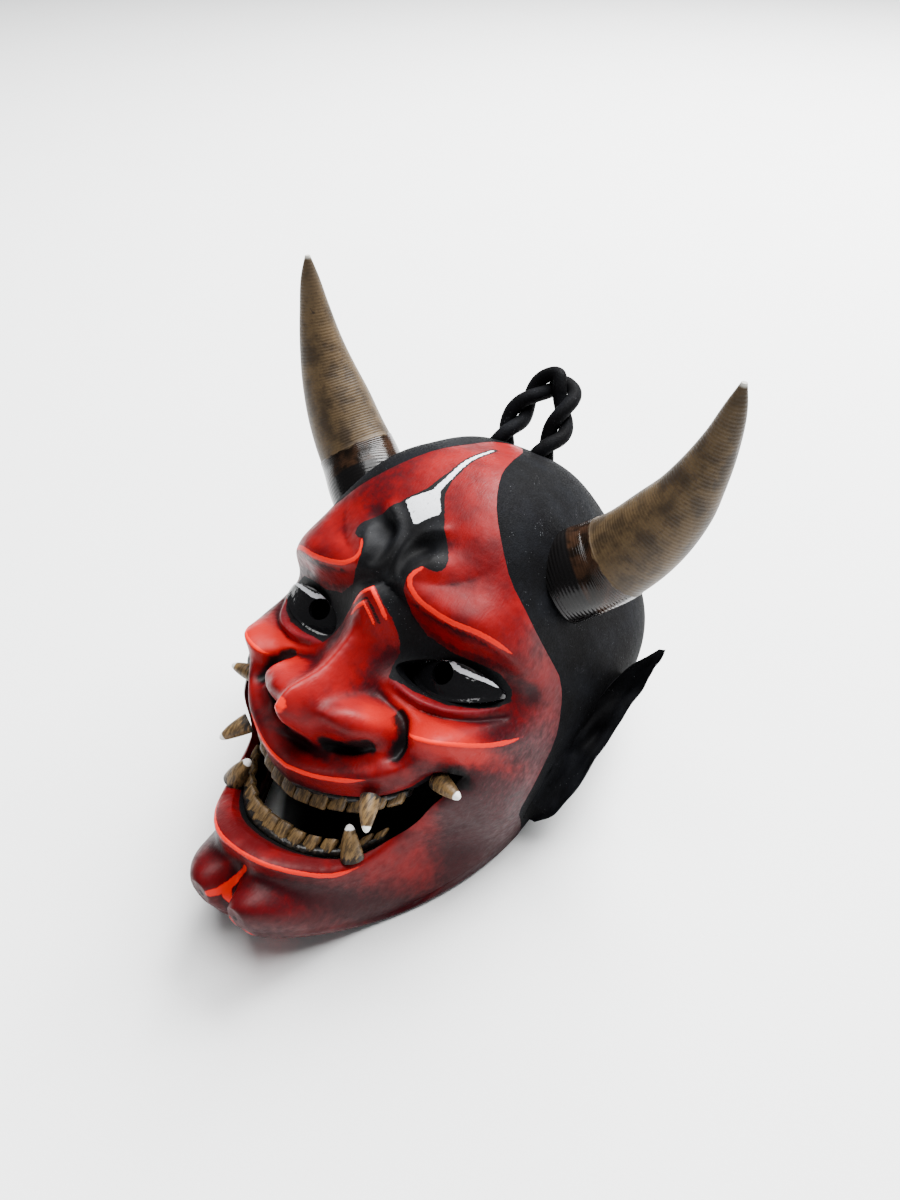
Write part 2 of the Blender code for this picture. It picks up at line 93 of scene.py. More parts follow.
SHIFT = np.array([0.0, SHIFT_Y, 0.0])

EYE_CENTRE = (18.5, -1.2)
EYE_HALF_LENGTH = 10.4
EYE_HALF_HEIGHT = 4.0
EYE_TURN = 12.0
EYEBALL_RADIUS = 13.0
EYEBALL_RISE = 0.6
EYE_GAP = 0.05
EYE_THICKNESS = 1.4
LID_RISE = 0.5
PUPIL_CENTRE = (16.5, -0.4)
PUPIL_RADIUS = 2.4
HORN_BASE_DIAMETER = 19.0
HORN_BAND_SHARE = 0.235
HORN_RIM_SHARE = 0.105
EAR_RIM_START = 0.12
EAR_LUMPS = 2.0
TOOTH_SIDES = 16
TOOTH_LEVELS = (0.0, 0.3, 0.6, 0.82, 0.94, 1.0)
TOOTH_REACH = 3.2
TOOTH_DEPTH = 2.0
GUM_SIDES = 10
FANG_SIDES = 20
STRAND_DIAMETER = 3.4
STRAND_GAP = 0.02
LOOP_TWISTS = 2.5
SIDES = ((-1, "left"), (1, "right"))

# The middle section of the plain dome, as (y, z), from the front of the rim over the crown to the back.
MIDDLE = [
    (-38.0, 0.0), (-45.5, 3.0), (-49.2, 9.5), (-50.2, 17.0), (-46.0, 22.5), (-33.0, 29.5), (-18.5, 42.5),
    (-3.2, 53.8), (8.4, 64.9), (15.9, 73.3), (21.6, 75.9), (30.0, 77.0), (40.2, 74.8),
    (54.0, 69.0), (66.0, 53.0), (72.5, 33.0), (74.0, 15.0), (73.0, 0.0),
]
# How square the dome's cross sections are (superellipse power), by angle in degrees from the rim's front.
SQUARENESS = [
    (0.0, 1.85), (12.0, 1.75), (30.0, 1.85), (50.0, 2.3), (70.0, 3.3), (90.0, 3.7), (105.0, 3.3),
    (125.0, 3.1), (150.0, 4.0), (180.0, 3.2),
]
# The painted edge between face and skull, as (x, y, z), from the rim up to the crown.
SEAM = [
    (33.0, 8.0, -6.0), (34.2, 6.5, 4.0), (35.2, 3.5, 11.0), (36.3, 0.6, 18.5), (36.9, 5.5, 25.5),
    (36.6, 12.3, 31.5), (35.0, 16.0, 38.5), (33.4, 16.8, 43.5), (31.6, 15.4, 49.5), (27.5, 13.5, 59.5),
    (22.4, 14.2, 66.6), (17.5, 17.8, 71.4), (13.2, 22.5, 74.8), (8.6, 31.0, 76.4), (5.6, 41.0, 75.0),
    (3.2, 49.0, 72.0), (0.0, 52.5, 70.0),
]
SEAM_FRONT = [(22.0, -38.0, -8.0), (0.0, -60.0, -10.0)]
SEAM_APEX = (0.0, CENTRE_Y, -4.0)
SEAM_REACH = 125.0
SEAM_CAP = 150.0
# The mouth opening, as (x, v).
MOUTH_TOP = [(0.0, -33.4), (8.0, -31.8), (15.0, -28.6), (20.5, -23.6), (24.5, -18.2), (29.0, -16.6)]
MOUTH_BOTTOM = [
    (0.0, -45.6), (7.7, -45.1), (13.6, -43.2), (17.1, -40.5), (20.6, -34.3), (25.6, -25.6), (29.0, -16.6),
]

# Modelled lines of the face, as (x, v, height).
BROW_EDGE = [
    (7.4, 16.2, 3.9), (6.5, 14.6, 4.2), (6.6, 12.9, 4.3), (8.6, 11.0, 4.7), (13.1, 9.7, 5.5),
    (17.8, 9.3, 6.1), (23.0, 9.7, 6.2), (27.3, 9.3, 5.4), (31.0, 8.3, 4.4), (34.5, 7.0, 2.5),
]
NOSE = [(0.0, 6.0, 4.6), (0.0, 0.0, 6.0), (0.0, -9.0, 9.4), (0.0, -16.0, 13.2), (0.0, -19.0, 13.6)]
WRINKLES = [
    [(0.0, 8.6, 2.0), (2.3, 6.6, 1.9), (4.2, 4.2, 1.7), (6.2, 1.6, 0.7)],
    [(0.0, 5.2, 1.5), (1.8, 3.6, 1.4), (3.3, 1.6, 1.2), (4.8, -1.2, 0.4)],
    [(0.0, 3.0, 0.7), (1.1, 1.6, 0.6), (2.2, -0.6, 0.2)],
]
LOWER_LID = [
    (10.0, -5.9, 0.6), (13.0, -6.7, 1.3), (17.0, -7.0, 1.5), (21.0, -6.4, 1.6), (25.4, -4.5, 1.5),
    (28.8, -1.8, 0.8),
]
LID_CREASE = [
    (12.0, -8.0, -0.5), (17.0, -8.8, -1.1), (22.0, -8.1, -1.2), (26.4, -6.0, -1.1), (30.0, -2.8, -0.6),
]
CHEEK_EDGE = [
    (9.5, -8.0, 0.6), (14.5, -10.6, 1.9), (18.3, -13.4, 3.2), (22.9, -13.0, 4.8), (27.6, -11.2, 5.6),
    (31.5, -8.6, 4.8), (34.0, -5.0, 3.4), (34.6, -0.5, 2.2), (34.2, 3.5, 1.0),
]
WING_GROOVE = [
    (7.5, -9.4, -0.5), (11.0, -10.6, -1.5), (14.6, -11.4, -2.4), (17.0, -13.8, -3.0), (18.0, -18.5, -2.0),
]
UPPER_LIP = [
    (0.0, -30.2, 6.0), (5.0, -29.5, 6.0), (9.4, -28.2, 6.0), (13.0, -26.6, 5.9), (17.0, -24.0, 5.6),
    (21.0, -19.4, 5.2), (24.0, -15.6, 4.6), (27.5, -13.6, 4.2), (30.6, -14.8, 3.4), (32.0, -18.6, 2.2),
]
LOWER_LIP = [
    (0.0, -48.4, 5.4), (7.3, -47.9, 5.7), (11.8, -47.0, 5.9), (15.6, -45.6, 5.9), (18.5, -42.0, 5.8),
    (21.9, -34.4, 5.4), (27.0, -25.2, 4.2), (30.6, -19.0, 1.8),
]
NOSTRIL = [(5.2, -22.6, -2.6), (9.0, -21.7, -3.6), (13.4, -19.0, -2.2)]
FROWN_LINE = [(0.0, 10.6, -0.9), (3.3, 9.6, -0.8), (7.4, 7.6, -0.3)]
# Each line with its width left and right of its run and, where it isn't the usual, its crispness.
RELIEF = [
    (BROW_EDGE, 7.5, 2.7, 2.0), (FROWN_LINE, 0.7, 0.7), (NOSTRIL, 1.3, 1.3),
    (WRINKLES[0], 0.7, 2.2, 1.3), (WRINKLES[1], 0.7, 2.2, 1.3), (WRINKLES[2], 0.7, 2.2, 1.3),
    (WING_GROOVE, 1.5, 1.8), (LOWER_LID, 1.2, 1.2), (LID_CREASE, 0.9, 0.9),
    (CHEEK_EDGE, 5.5, 2.1), (UPPER_LIP, 4.4, 2.9), (LOWER_LIP, 3.2, 2.6),
]
# Soft swellings and hollows, as centre, radii and height: eye socket, brow's root, its two dimples, temple
# and the chin's cleft.
SWELLINGS = [
    ((18.5, 0.3), (12.5, 6.2), -5.2), ((0.0, 14.5), (9.0, 9.0), 3.0), ((4.4, 20.4), (2.3, 2.0), -1.3),
    ((8.0, 19.3), (1.3, 1.2), 0.6), ((32.0, 5.0), (1.3, 3.0), -0.8), ((0.0, -60.0), (2.2, 7.5), -3.4),
]
NOSE_TIP = ((0.0, -18.2), (8.2, 6.0), 4.0)
NOSE_WING = ((10.3, -16.4), (5.4, 4.6), 8.2)
CHIN_LOBE = ((10.2, -60.6), (9.6, 8.6), 8.6)
# The two brush strokes that edge the chin's cleft, as (x, v) on the whole face.
CHIN_STROKES = [
    [(1.4, -51.6), (0.0, -54.0), (-0.8, -56.4), (-1.8, -58.6), (-3.6, -60.2)],
    [(-1.0, -57.6), (-0.4, -59.6), (2.0, -61.2), (4.0, -62.8), (7.0, -64.6)],
]

# Painted shapes on the right side of the face, as (x, v).
BLACK_PANEL = [
    (-1.0, 56.0), (0.35, 47.0), (0.8, 38.0), (2.1, 32.2), (5.3, 27.4), (8.4, 23.0), (10.9, 20.0),
    (11.3, 18.2), (10.6, 16.9), (9.0, 16.5), (7.6, 16.6), (6.6, 15.4), (5.9, 13.4), (6.0, 11.0),
    (7.6, 7.6), (11.2, 5.0), (16.9, 4.1), (22.0, 4.6), (26.4, 4.6), (29.0, 2.8), (29.7, 0.6),
    (28.6, -1.4), (25.6, -3.8), (20.6, -5.7), (14.6, -6.1), (11.4, -5.9), (8.6, -6.0), (7.8, -3.4),
    (7.6, -0.6), (6.6, 2.2), (4.6, 4.9), (2.3, 7.2), (0.0, 9.2), (-1.0, 9.2),
]
# The plain lozenge in the middle of the forehead, and its thin tail.
LOZENGE = [(-4.8, 27.8), (0.0, 33.1), (4.0, 28.1), (0.0, 23.7)]
LOZENGE_TAIL = [(-0.1, 32.6), (0.2, 36.0), (0.0, 41.0), (-0.1, 47.5)]
NOSE_ROOT_LINE = [(0.0, 6.4), (2.0, 4.6), (3.8, 2.4)]
NOSE_TIP_DOT = (0.0, -18.6)
# Bright painted edges: line, half width on the right and left side of the face, where along the line the
# paint starts, and where it ends on the right and left side.
EDGE_STROKES = [
    (BROW_EDGE, (0.6, 0.6), -0.2, (0.84, 0.84)),
    (CHEEK_EDGE, (0.5, 0.5), 0.26, (0.8, 0.8)),
    (UPPER_LIP, (0.5, 0.5), -0.2, (0.42, 0.42)),
    (LOWER_LIP, (0.5, 0.5), -0.2, (0.46, 0.66)),
    (WRINKLES[0], (0.4, 0.75), -0.2, (0.7, 0.7)),
    (WRINKLES[1], (0.3, 0.6), -0.2, (0.6, 0.6)),
]
# Soft patches of paint, as centre, radii and strength: dark wash and painted shade, then the lighter red.
WASH_AND_SHADE_PATCHES = [
    ((0.0, -24.5), (13.0, 3.0), 0.45), ((6.5, -4.5), (2.5, 5.0), 0.6), ((23.0, -17.5), (9.0, 3.5), 0.55),
    ((0.0, -33.0), (18.0, 2.2), 0.7), ((15.0, -51.0), (14.0, 5.0), 0.65), ((30.0, -32.0), (8.0, 10.0), 0.4),
    ((29.5, 14.0), (4.0, 8.0), 0.35), ((20.0, 6.5), (12.0, 1.6), 0.15), ((9.0, -60.0), (9.0, 6.0), 0.3),
    ((25.0, -52.0), (8.0, 9.0), 0.5), ((33.0, -30.0), (6.0, 14.0), 0.5), ((10.0, -64.0), (12.0, 5.0), 0.5),
    ((14.0, -25.5), (7.0, 2.0), 0.4), ((33.0, 20.0), (4.0, 9.0), 0.35), ((23.5, -11.8), (9.0, 3.2), -1.3),
]
LIGHTS_ON_RED = [
    ((22.5, -11.4), (10.5, 3.2), 2.0), ((12.0, -14.0), (4.0, 3.0), 0.6), ((3.0, 40.0), (7.0, 18.0), 0.1),
    ((0.0, -13.0), (4.0, 9.0), 0.35), ((10.0, -46.5), (14.0, 3.0), -0.35),
]
# White marks on the right eye, as (x, v): silver brushwork and a painted highlight where light catches the
# gloss along the eye's top.
SILVER_AND_HIGHLIGHT_INNER = [(11.4, 0.0), (12.8, 1.4), (14.6, 2.0), (15.8, 2.3)]
SILVER_AND_HIGHLIGHT_OUTER = [(17.4, 2.1), (19.4, 1.7), (22.0, 1.9), (24.6, 2.1), (27.2, 2.2)]

# A horn's middle line from root to tip, as (x, y, z, share of the base radius).
HORN = [
    (25.0, 30.0, 57.5, 1.0), (28.5, 32.0, 60.0, 1.0), (32.5, 34.5, 62.8, 0.97), (37.5, 36.4, 68.2, 0.91),
    (41.8, 38.0, 74.8, 0.82), (44.8, 39.0, 80.6, 0.69), (46.7, 39.6, 86.0, 0.56), (49.0, 40.7, 95.0, 0.36),
    (50.0, 41.2, 102.2, 0.20), (50.3, 41.5, 106.3, 0.06),
]
# The ear, as stations from lobe to tip: front root, outer edge and back root, each (x, y, z).
EAR = [
    ((33.0, 3.0, 10.0), (37.2, 5.5, 9.5), (33.0, 8.5, 6.5)),
    ((34.8, 4.0, 14.5), (40.8, 7.5, 12.5), (34.0, 11.5, 8.5)),
    ((36.4, 8.0, 20.0), (42.8, 12.5, 18.5), (34.5, 18.0, 12.5)),
    ((37.0, 15.0, 25.5), (44.4, 18.5, 25.0), (34.5, 25.5, 17.0)),
    ((37.6, 23.0, 29.0), (45.4, 25.5, 30.0), (34.5, 33.0, 21.0)),
    ((38.8, 30.5, 32.0), (46.2, 32.5, 33.5), (35.5, 39.0, 25.0)),
    ((42.2, 36.3, 37.6), (47.0, 37.0, 38.0), (42.5, 39.5, 34.5)),
    ((46.4, 38.6, 42.6), (47.6, 39.0, 42.8), (46.8, 39.4, 41.8)),
]
# The right half of the hanging loop's middle line, from the crown to its top.
LOOP = [
    (5.2, 51.0, 66.0), (5.4, 55.0, 69.5), (5.6, 59.0, 72.0), (4.8, 64.0, 75.5), (2.6, 68.0, 78.5),
    (0.0, 69.5, 79.8),
]
CROWN_AXIS = (0.0, -0.55, 0.83)
UPPER_TEETH = [(20.0, -25.2), (15.0, -29.4), (8.0, -32.5), (0.0, -34.1)]
LOWER_TEETH = [(18.6, -35.4), (14.2, -40.9), (7.8, -44.1), (0.0, -44.9)]
# Each fang as root and tip in face coordinates, and its diameter.
FANGS = {
    "upper_canine": ((16.5, -28.2, 4.4), (19.9, -33.9, 6.6), 4.1),
    "corner_tusk": ((24.6, -19.8, -3.2), (31.2, -20.4, -0.8), 4.2),
    "lower_canine": ((16.6, -41.4, -0.4), (13.8, -35.3, 2.0), 4.6),
}

COS_TILT = math.cos(math.radians(FACE_TILT))
SIN_TILT = math.sin(math.radians(FACE_TILT))

# The camera stands where the mask is seen from its front right, a little above it, in metres.
CAMERA_PLACE = Vector((0.0909992, SHIFT_Y * MM - 0.1019655, 0.1799109))
CAMERA_AIM = Vector((-0.43755542, 0.61104706, -0.65967169))
CAMERA_RIGHT = Vector((0.8130449, 0.58220099, 0.0))
CAMERA_LENS = 27.0
CAMERA_SENSOR = 36.0
FLOOR_HALF = 3.0
ROOM_LIGHT = 0.25
LAMP_TARGET = Vector((0.0, 0.0, 0.03))
# Name, place, size in metres and power in watts.
LAMPS = [("window_behind", (0.0, 0.8, 0.95), 0.7, 70.0), ("ceiling", (0.1, 0.15, 1.4), 0.9, 42.0)]


# --- curves and coordinates

def smooth_curve(at, knots, values):
    """Cubic curve through (knots, values), with slopes taken from the neighbours."""
    knots = np.asarray(knots, float)
    values = np.asarray(values, float)
    slopes = np.gradient(values, knots)
    at = np.clip(at, knots[0], knots[-1])
    i = np.clip(np.searchsorted(knots, at) - 1, 0, len(knots) - 2)
    step = knots[i + 1] - knots[i]
    t = (at - knots[i]) / step
    return (
        (2 * t**3 - 3 * t**2 + 1) * values[i]
        + (t**3 - 2 * t**2 + t) * step * slopes[i]
        + (-2 * t**3 + 3 * t**2) * values[i + 1]
        + (t**3 - t**2) * step * slopes[i + 1]
    )


def smooth_path(points, count):
    """`count` points evenly along a smooth curve through `points`."""
    points = np.asarray(points, float)
    steps = np.linalg.norm(np.diff(points[:, :3], axis=0), axis=1)
    along = np.concatenate([[0.0], np.cumsum(steps)])
    at = np.linspace(0.0, along[-1], count)
    return np.stack([smooth_curve(at, along, column) for column in points.T], axis=-1)


def unit(vectors):
    return vectors / np.linalg.norm(vectors, axis=-1, keepdims=True)


def face_to_table(x, v, w):
    """Face coordinates to upright ones: y towards the crown, z up from the table."""
    return x, v * COS_TILT - w * SIN_TILT, v * SIN_TILT + w * COS_TILT + PUPIL_HEIGHT


def upright(points):
    """The same for a row of points."""
    return np.stack(face_to_table(*np.asarray(points, float).T), axis=-1)


def table_to_face(x, y, z):
    """The way back from face_to_table."""
    up = z - PUPIL_HEIGHT
    return x, y * COS_TILT + up * SIN_TILT, -y * SIN_TILT + up * COS_TILT


def smoothstep(value, low, high):
    """0 below `low`, 1 above `high` and a soft step between; with low above high it falls."""
    t = np.clip((value - low) / (high - low), 0.0, 1.0)
    return t * t * (3 - 2 * t)


def segments(x, v, points):
    """For each straight part of a line: distance, side (1 left, -1 right) and share of the part."""
    points = np.asarray(points, float)
    for a, b in zip(points[:-1], points[1:]):
        step = b[:2] - a[:2]
        t = np.clip(((x - a[0]) * step[0] + (v - a[1]) * step[1]) / (step @ step), 0.0, 1.0)
        dx, dv = x - (a[0] + t * step[0]), v - (a[1] + t * step[1])
        away = np.hypot(dx, dv)
        yield away, (step[0] * dv - step[1] * dx) / np.maximum(away * np.hypot(*step), 1e-9), t


def line_distance(x, v, points):
    """Distance from a line, and the share of its length at the nearest point."""
    best = np.full(np.shape(x), 1e9)
    along = np.zeros(np.shape(x))
    for k, (away, _, t) in enumerate(segments(x, v, points)):
        along = np.where(away < best, (k + t) / (len(points) - 1), along)
        best = np.minimum(away, best)
    return best, along


def inside_distance(x, v, outline):
    """Signed distance to a closed outline, positive inside."""
    outline = np.asarray(list(outline) + [outline[0]], float)
    best = line_distance(x, v, outline)[0]
    inside = np.zeros(np.shape(x), bool)
    for a, b in zip(outline[:-1], outline[1:]):
        crosses = (a[1] > v) != (b[1] > v)
        span = b[1] - a[1] if b[1] != a[1] else 1e-9
        inside ^= crosses & (x < (b[0] - a[0]) * (v - a[1]) / span + a[0])
    return np.where(inside, best, -best)


def pad(x, v, centre, radii, height):
    """A soft round swelling, or a hollow where height is negative."""
    return height * np.exp(-(((x - centre[0]) / radii[0]) ** 2) - ((v - centre[1]) / radii[1]) ** 2)


def pads(x, v, patches):
    return sum(pad(x, v, *patch) for patch in patches)


def knob(x, v, centre, radii, height):
    """A round swelling with a flatter top and steeper sides than a pad."""
    reach = ((x - centre[0]) / radii[0]) ** 2 + ((v - centre[1]) / radii[1]) ** 2
    return height * np.exp(-(reach**1.5))


def ledge(x, v, points, left, right, crisp=1.6):
    """A raised line that fades over `left` on the left of its run and over `right` on its right."""
    run = smooth_path(points, 3 * len(points))
    parts = list(segments(x, v, run))
    best = np.minimum.reduce([away for away, _, _ in parts])
    total = height = on_left = 0.0
    for (away, side, t), start, end in zip(parts, run[:-1, 2], run[1:, 2]):
        weight = np.exp((best - away) / LINE_BLEND)
        total = total + weight
        height = height + weight * (start + t * (end - start))
        on_left = on_left + weight * smoothstep(side, -0.8, 0.8)
    height, on_left = height / total, on_left / total
    wide = on_left if left > right else 1.0 - on_left
    reach = right + (left - right) * on_left
    return height * np.exp(-((best / reach) ** (crisp + (2.0 - crisp) * wide)))


# --- the mask's outer surface

def side_swell(y, z):
    """How much wider the cheeks and the back of the head are than the plain dome; the jaw stays narrow."""
    level = np.exp(-(((z - SIDE_SWELL_HEIGHT) / SIDE_SWELL_SPREAD) ** 2))
    cheeks = SIDE_SWELL * smoothstep(y, SWELL_START_Y, SWELL_FULL_Y)
    return 1.0 + level * (cheeks + BACK_SWELL * smoothstep(y, BACK_START_Y, BACK_FULL_Y))


def dome_radius(theta, phi):
    """Distance from the dome's centre line to the plain dome."""
    y = np.array([p[0] for p in MIDDLE]) - CENTRE_Y
    z = np.array([p[1] for p in MIDDLE])
    reach = smooth_curve(theta, np.arctan2(z, -y), np.hypot(y, z))
    power = smooth_curve(np.degrees(theta), *zip(*SQUARENESS))
    across = np.abs(np.cos(phi) / reach) ** power + np.abs(np.sin(phi) / JAW_HALF_WIDTH) ** power
    return across ** (-1.0 / power)


def dome(theta, phi):
    """The plain dome: theta goes from the front over the crown to the back, phi from side to side."""
    radius = dome_radius(theta, phi)
    y = CENTRE_Y - radius * np.cos(phi) * np.cos(theta)
    z = radius * np.cos(phi) * np.sin(theta)
    return radius * np.sin(phi) * side_swell(y, z), y, z


def sculpt(x, v):
    """How far the modelled face stands out of the plain dome, straight out of the face."""
    x = np.abs(x)
    out = pads(x, v, SWELLINGS) + knob(x, v, *CHIN_LOBE)
    taper = JAW_TAPER * np.clip((x / JAW_TAPER_X) ** 2, 0.0, 1.5)
    out -= taper * smoothstep(v, JAW_TAPER_TOP, JAW_TAPER_FULL)
    curl = np.hypot(x - 9.5, v - 17.0)
    curl = 1.1 * np.exp(-(((curl - 8.4) / 1.3) ** 2))
    out += curl * smoothstep(9.0 - x, 0.0, 3.0) * smoothstep(v, 9.0, 13.0)
    nose = ledge(x, v, NOSE, 5.2, 5.2) + knob(x, v, *NOSE_TIP) + knob(x, v, *NOSE_WING)
    out += nose * smoothstep(v + 0.12 * x, -25.8, -21.6)
    return out + sum(ledge(x, v, *line) for line in RELIEF)


def mask_surface(theta, phi, share=1.0):
    """The sculpted surface, with `share` of its swellings."""
    x, y, z = dome(theta, phi)
    above_rim = np.clip(z / RIM_FADE, 0.0, 1.0)
    x, v, w = table_to_face(x, y, z)
    front = 1.0 / (1.0 + np.exp((FRONT_DEPTH - w) / 4.0))
    out = sculpt(x, v)
    out = np.where(out > 0, out * share, out)
    return face_to_table(x, v, w + out * front * above_rim)


def surface_height(x, v, relief=True):
    """The face's w at (x, v), found by halving the span that holds it; without relief, the plain dome's."""
    x = np.asarray(x, float)
    v = np.asarray(v, float)
    low = np.full(np.shape(x), -30.0)
    high = np.full(np.shape(x), 30.0)
    for _ in range(30):
        w = (low + high) / 2
        px, py, pz = face_to_table(x, v, w)
        px = px / side_swell(py, pz)
        flat = np.hypot(py - CENTRE_Y, pz)
        surface = dome_radius(np.arctan2(pz, CENTRE_Y - py), np.arctan2(px, flat))
        inside = np.hypot(px, flat) < surface
        low = np.where(inside, w, low)
        high = np.where(inside, high, w)
    return low + (sculpt(x, v) if relief else 0.0)


# --- making objects

def to_row(points):
    """Millimetre points before the shift, as metres in the row frame."""
    return (np.asarray(points, float).reshape(-1, 3) + SHIFT) * MM


def cutter_object(name, points, faces):
    """An object with its faces turned outwards, which may reach outside the CAD's box."""
    return new_object(name, to_row(points), faces)


def mesh_object(name, points, faces, mat=None):
    """A visible object, kept inside the CAD's box."""
    return new_object(name, np.clip(to_row(points), *np.array(cad_box)), faces, mat)


def add_object(name, data):
    obj = bpy.data.objects.new(name, data)
    bpy.context.scene.collection.objects.link(obj)
    return obj


def new_object(name, row_points, faces, mat=None):
    mesh = bpy.data.meshes.new(name)
    mesh.from_pydata(row_points.tolist(), [], [tuple(f) for f in faces])
    bm = bmesh.new()
    bm.from_mesh(mesh)
    bmesh.ops.recalc_face_normals(bm, faces=bm.faces)
    bm.to_mesh(mesh)
    bm.free()
    if mat:
        mesh.materials.append(mat)
    return add_object(name, mesh)


def set_attribute(obj, name, values):
    attribute = obj.data.attributes.new(name, "FLOAT", "POINT")
    attribute.data.foreach_set("value", np.asarray(values, np.float32).ravel())


def vertices_of(obj):
    """The way back from to_row, for an object's own points."""
    points = np.zeros(len(obj.data.vertices) * 3, np.float32)
    obj.data.vertices.foreach_get("co", points)
    return np.asarray(points.reshape(-1, 3), float) / MM - SHIFT


def cut(obj, other, operation):
    """Runs one Boolean now and keeps its result as the object's mesh."""
    mod = obj.modifiers.new("cut", "BOOLEAN")
    mod.operation = operation
    mod.object = other
    mod.solver = "MANIFOLD"
    depsgraph = bpy.context.evaluated_depsgraph_get()
    mesh = bpy.data.meshes.new_from_object(obj.evaluated_get(depsgraph))
    obj.modifiers.clear()
    obj.data = mesh


def drop(*objects):
    for obj in objects:
        bpy.data.objects.remove(obj, do_unlink=True)


def loft_parts(rings, start=0):
    """Points and faces of a closed solid through rings of equally many points, with flat ends."""
    count = len(rings[0])
    points = [p for ring in rings for p in ring]
    faces = [
        tuple(range(start, start + count)),
        tuple(range(start + len(points) - 1, start + len(points) - count - 1, -1)),
    ]
    for r in range(len(rings) - 1):
        for i in range(count):
            a, b = start + r * count + i, start + r * count + (i + 1) % count
            faces.append((a, b, b + count, a + count))
    return points, faces


def loft(name, rings, mat=None):
    return mesh_object(name, *loft_parts(rings), mat)


def tube_rings(path, radii, sides):
    """Rings round a path, with a radius at every point and their sides kept untwisted."""
    path = np.asarray(path, float)
    headings = unit(np.gradient(path, axis=0))
    side = np.cross(headings[0], (0.31, 0.2, 0.93))
    angles = np.linspace(0.0, 2 * math.pi, sides, endpoint=False)
    rings = []
    for point, heading, radius in zip(path, headings, radii):
        side = unit(side - heading * np.dot(side, heading))
        other = np.cross(heading, side)
        rings.append(point + radius * (np.outer(np.cos(angles), side) + np.outer(np.sin(angles), other)))
    return rings


# --- node helpers

def srgb(red, green, blue):
    """0-255 colour values to linear light."""
    shares = (red / 255, green / 255, blue / 255)
    return tuple(c / 12.92 if c <= 0.04045 else ((c + 0.055) / 1.055) ** 2.4 for c in shares)


class Paint:
    """One material's nodes, built up step by step. Sizes are in millimetres."""

    def __init__(self, name, roughness, sheen=0.5):
        self.mat = bpy.data.materials.new(name)
        self.mat.use_nodes = True
        self.tree = self.mat.node_tree
        self.shader = self.tree.nodes["Principled BSDF"]
        self.shader.inputs["Roughness"].default_value = roughness
        self.shader.inputs["Specular IOR Level"].default_value = sheen
        self.place = self.node("TexCoord").outputs["Object"]

    def node(self, kind):
        return self.tree.nodes.new("ShaderNode" + kind)

    def put(self, socket, value):
        """Links a socket's value, or sets a number or colour."""
        if isinstance(value, bpy.types.NodeSocket):
            self.tree.links.new(value, socket)
        elif isinstance(value, tuple):
            socket.default_value = (*value, 1.0) if len(value) == 3 and socket.type == "RGBA" else value
        else:
            socket.default_value = value

    def math(self, operation, a, b=0.0):
        node = self.node("Math")
        node.operation = operation
        self.put(node.inputs[0], a)
        self.put(node.inputs[1], b)
        return node.outputs[0]

    def add(self, a, b):
        return self.math("ADD", a, b)

    def times(self, a, b):
        return self.math("MULTIPLY", a, b)

    def step(self, value, low, high, start=0.0, end=1.0):
        """A soft step from `start` at `low` to `end` at `high`."""
        node = self.node("MapRange")
        node.interpolation_type = "SMOOTHSTEP"
        sockets = ("Value", "From Min", "From Max", "To Min", "To Max")
        for socket, given in zip(sockets, (value, low, high, start, end)):
            self.put(node.inputs[socket], given)
        return node.outputs["Result"]

    def attribute(self, name):
        node = self.node("Attribute")
        node.attribute_name = name
        return node.outputs["Fac"]

    def stretched(self, scale, turn=(0.0, 0.0, 0.0), place=(0.0, 0.0, 0.0)):
        node = self.node("Mapping")
        self.put(node.inputs["Vector"], self.place)
        node.inputs["Location"].default_value = place
        node.inputs["Rotation"].default_value = [math.radians(a) for a in turn]
        node.inputs["Scale"].default_value = scale
        return node.outputs["Vector"]

    def noise(self, size, detail=3.0, vector=None, rough=0.5):
        node = self.node("TexNoise")
        self.put(node.inputs["Vector"], vector or self.place)
        node.inputs["Scale"].default_value = 1.0 / (size * MM)
        node.inputs["Detail"].default_value = detail
        node.inputs["Roughness"].default_value = rough
        return node.outputs["Fac"]

    def specks(self, size):
        node = self.node("TexVoronoi")
        self.put(node.inputs["Vector"], self.place)
        node.inputs["Scale"].default_value = 1.0 / (size * MM)
        return node.outputs["Distance"]

    def ragged(self, value, noise, amount):
        """A value shaken by noise, for rough edges."""
        return self.add(value, self.times(self.add(noise, -0.5), amount))

    def mix(self, share, a, b):
        node = self.node("Mix")
        node.data_type = "RGBA"
        self.put(node.inputs[0], share)
        self.put(node.inputs[6], a)
        self.put(node.inputs[7], b)
        return node.outputs[2]

    def colour(self, value):
        self.put(self.shader.inputs["Base Color"], value)

    def rough(self, value):
        self.put(self.shader.inputs["Roughness"], value)

    def bump(self, height, distance):
        """Raises the surface by `height` times `distance` millimetres."""
        node = self.node("Bump")
        node.inputs["Strength"].default_value = 1.0
        node.inputs["Distance"].default_value = distance * MM
        self.put(node.inputs["Height"], height)
        self.put(self.shader.inputs["Normal"], node.outputs["Normal"])


# --- materials

BLACK = srgb(8, 8, 9)
BLACK_LIGHT = srgb(17, 18, 21)


def matte_black_of(paint):
    """Matte black with broad tone changes, brush hairs and scattered pale specks."""
    tone = paint.noise(9.0, 3.0)
    hairs = paint.noise(0.35, 2.0, paint.stretched((1.0, 0.25, 0.25), (0, 30, 20)))
    base = paint.mix(paint.step(paint.add(tone, paint.times(hairs, 0.35)), 0.5, 0.95), BLACK, BLACK_LIGHT)
    dots = paint.step(paint.specks(0.55), 0.16, 0.08)
    sparse = paint.step(paint.noise(3.0, 2.0), 0.52, 0.68)
    return paint.mix(paint.times(paint.times(dots, sparse), 0.55), base, srgb(120, 122, 125))


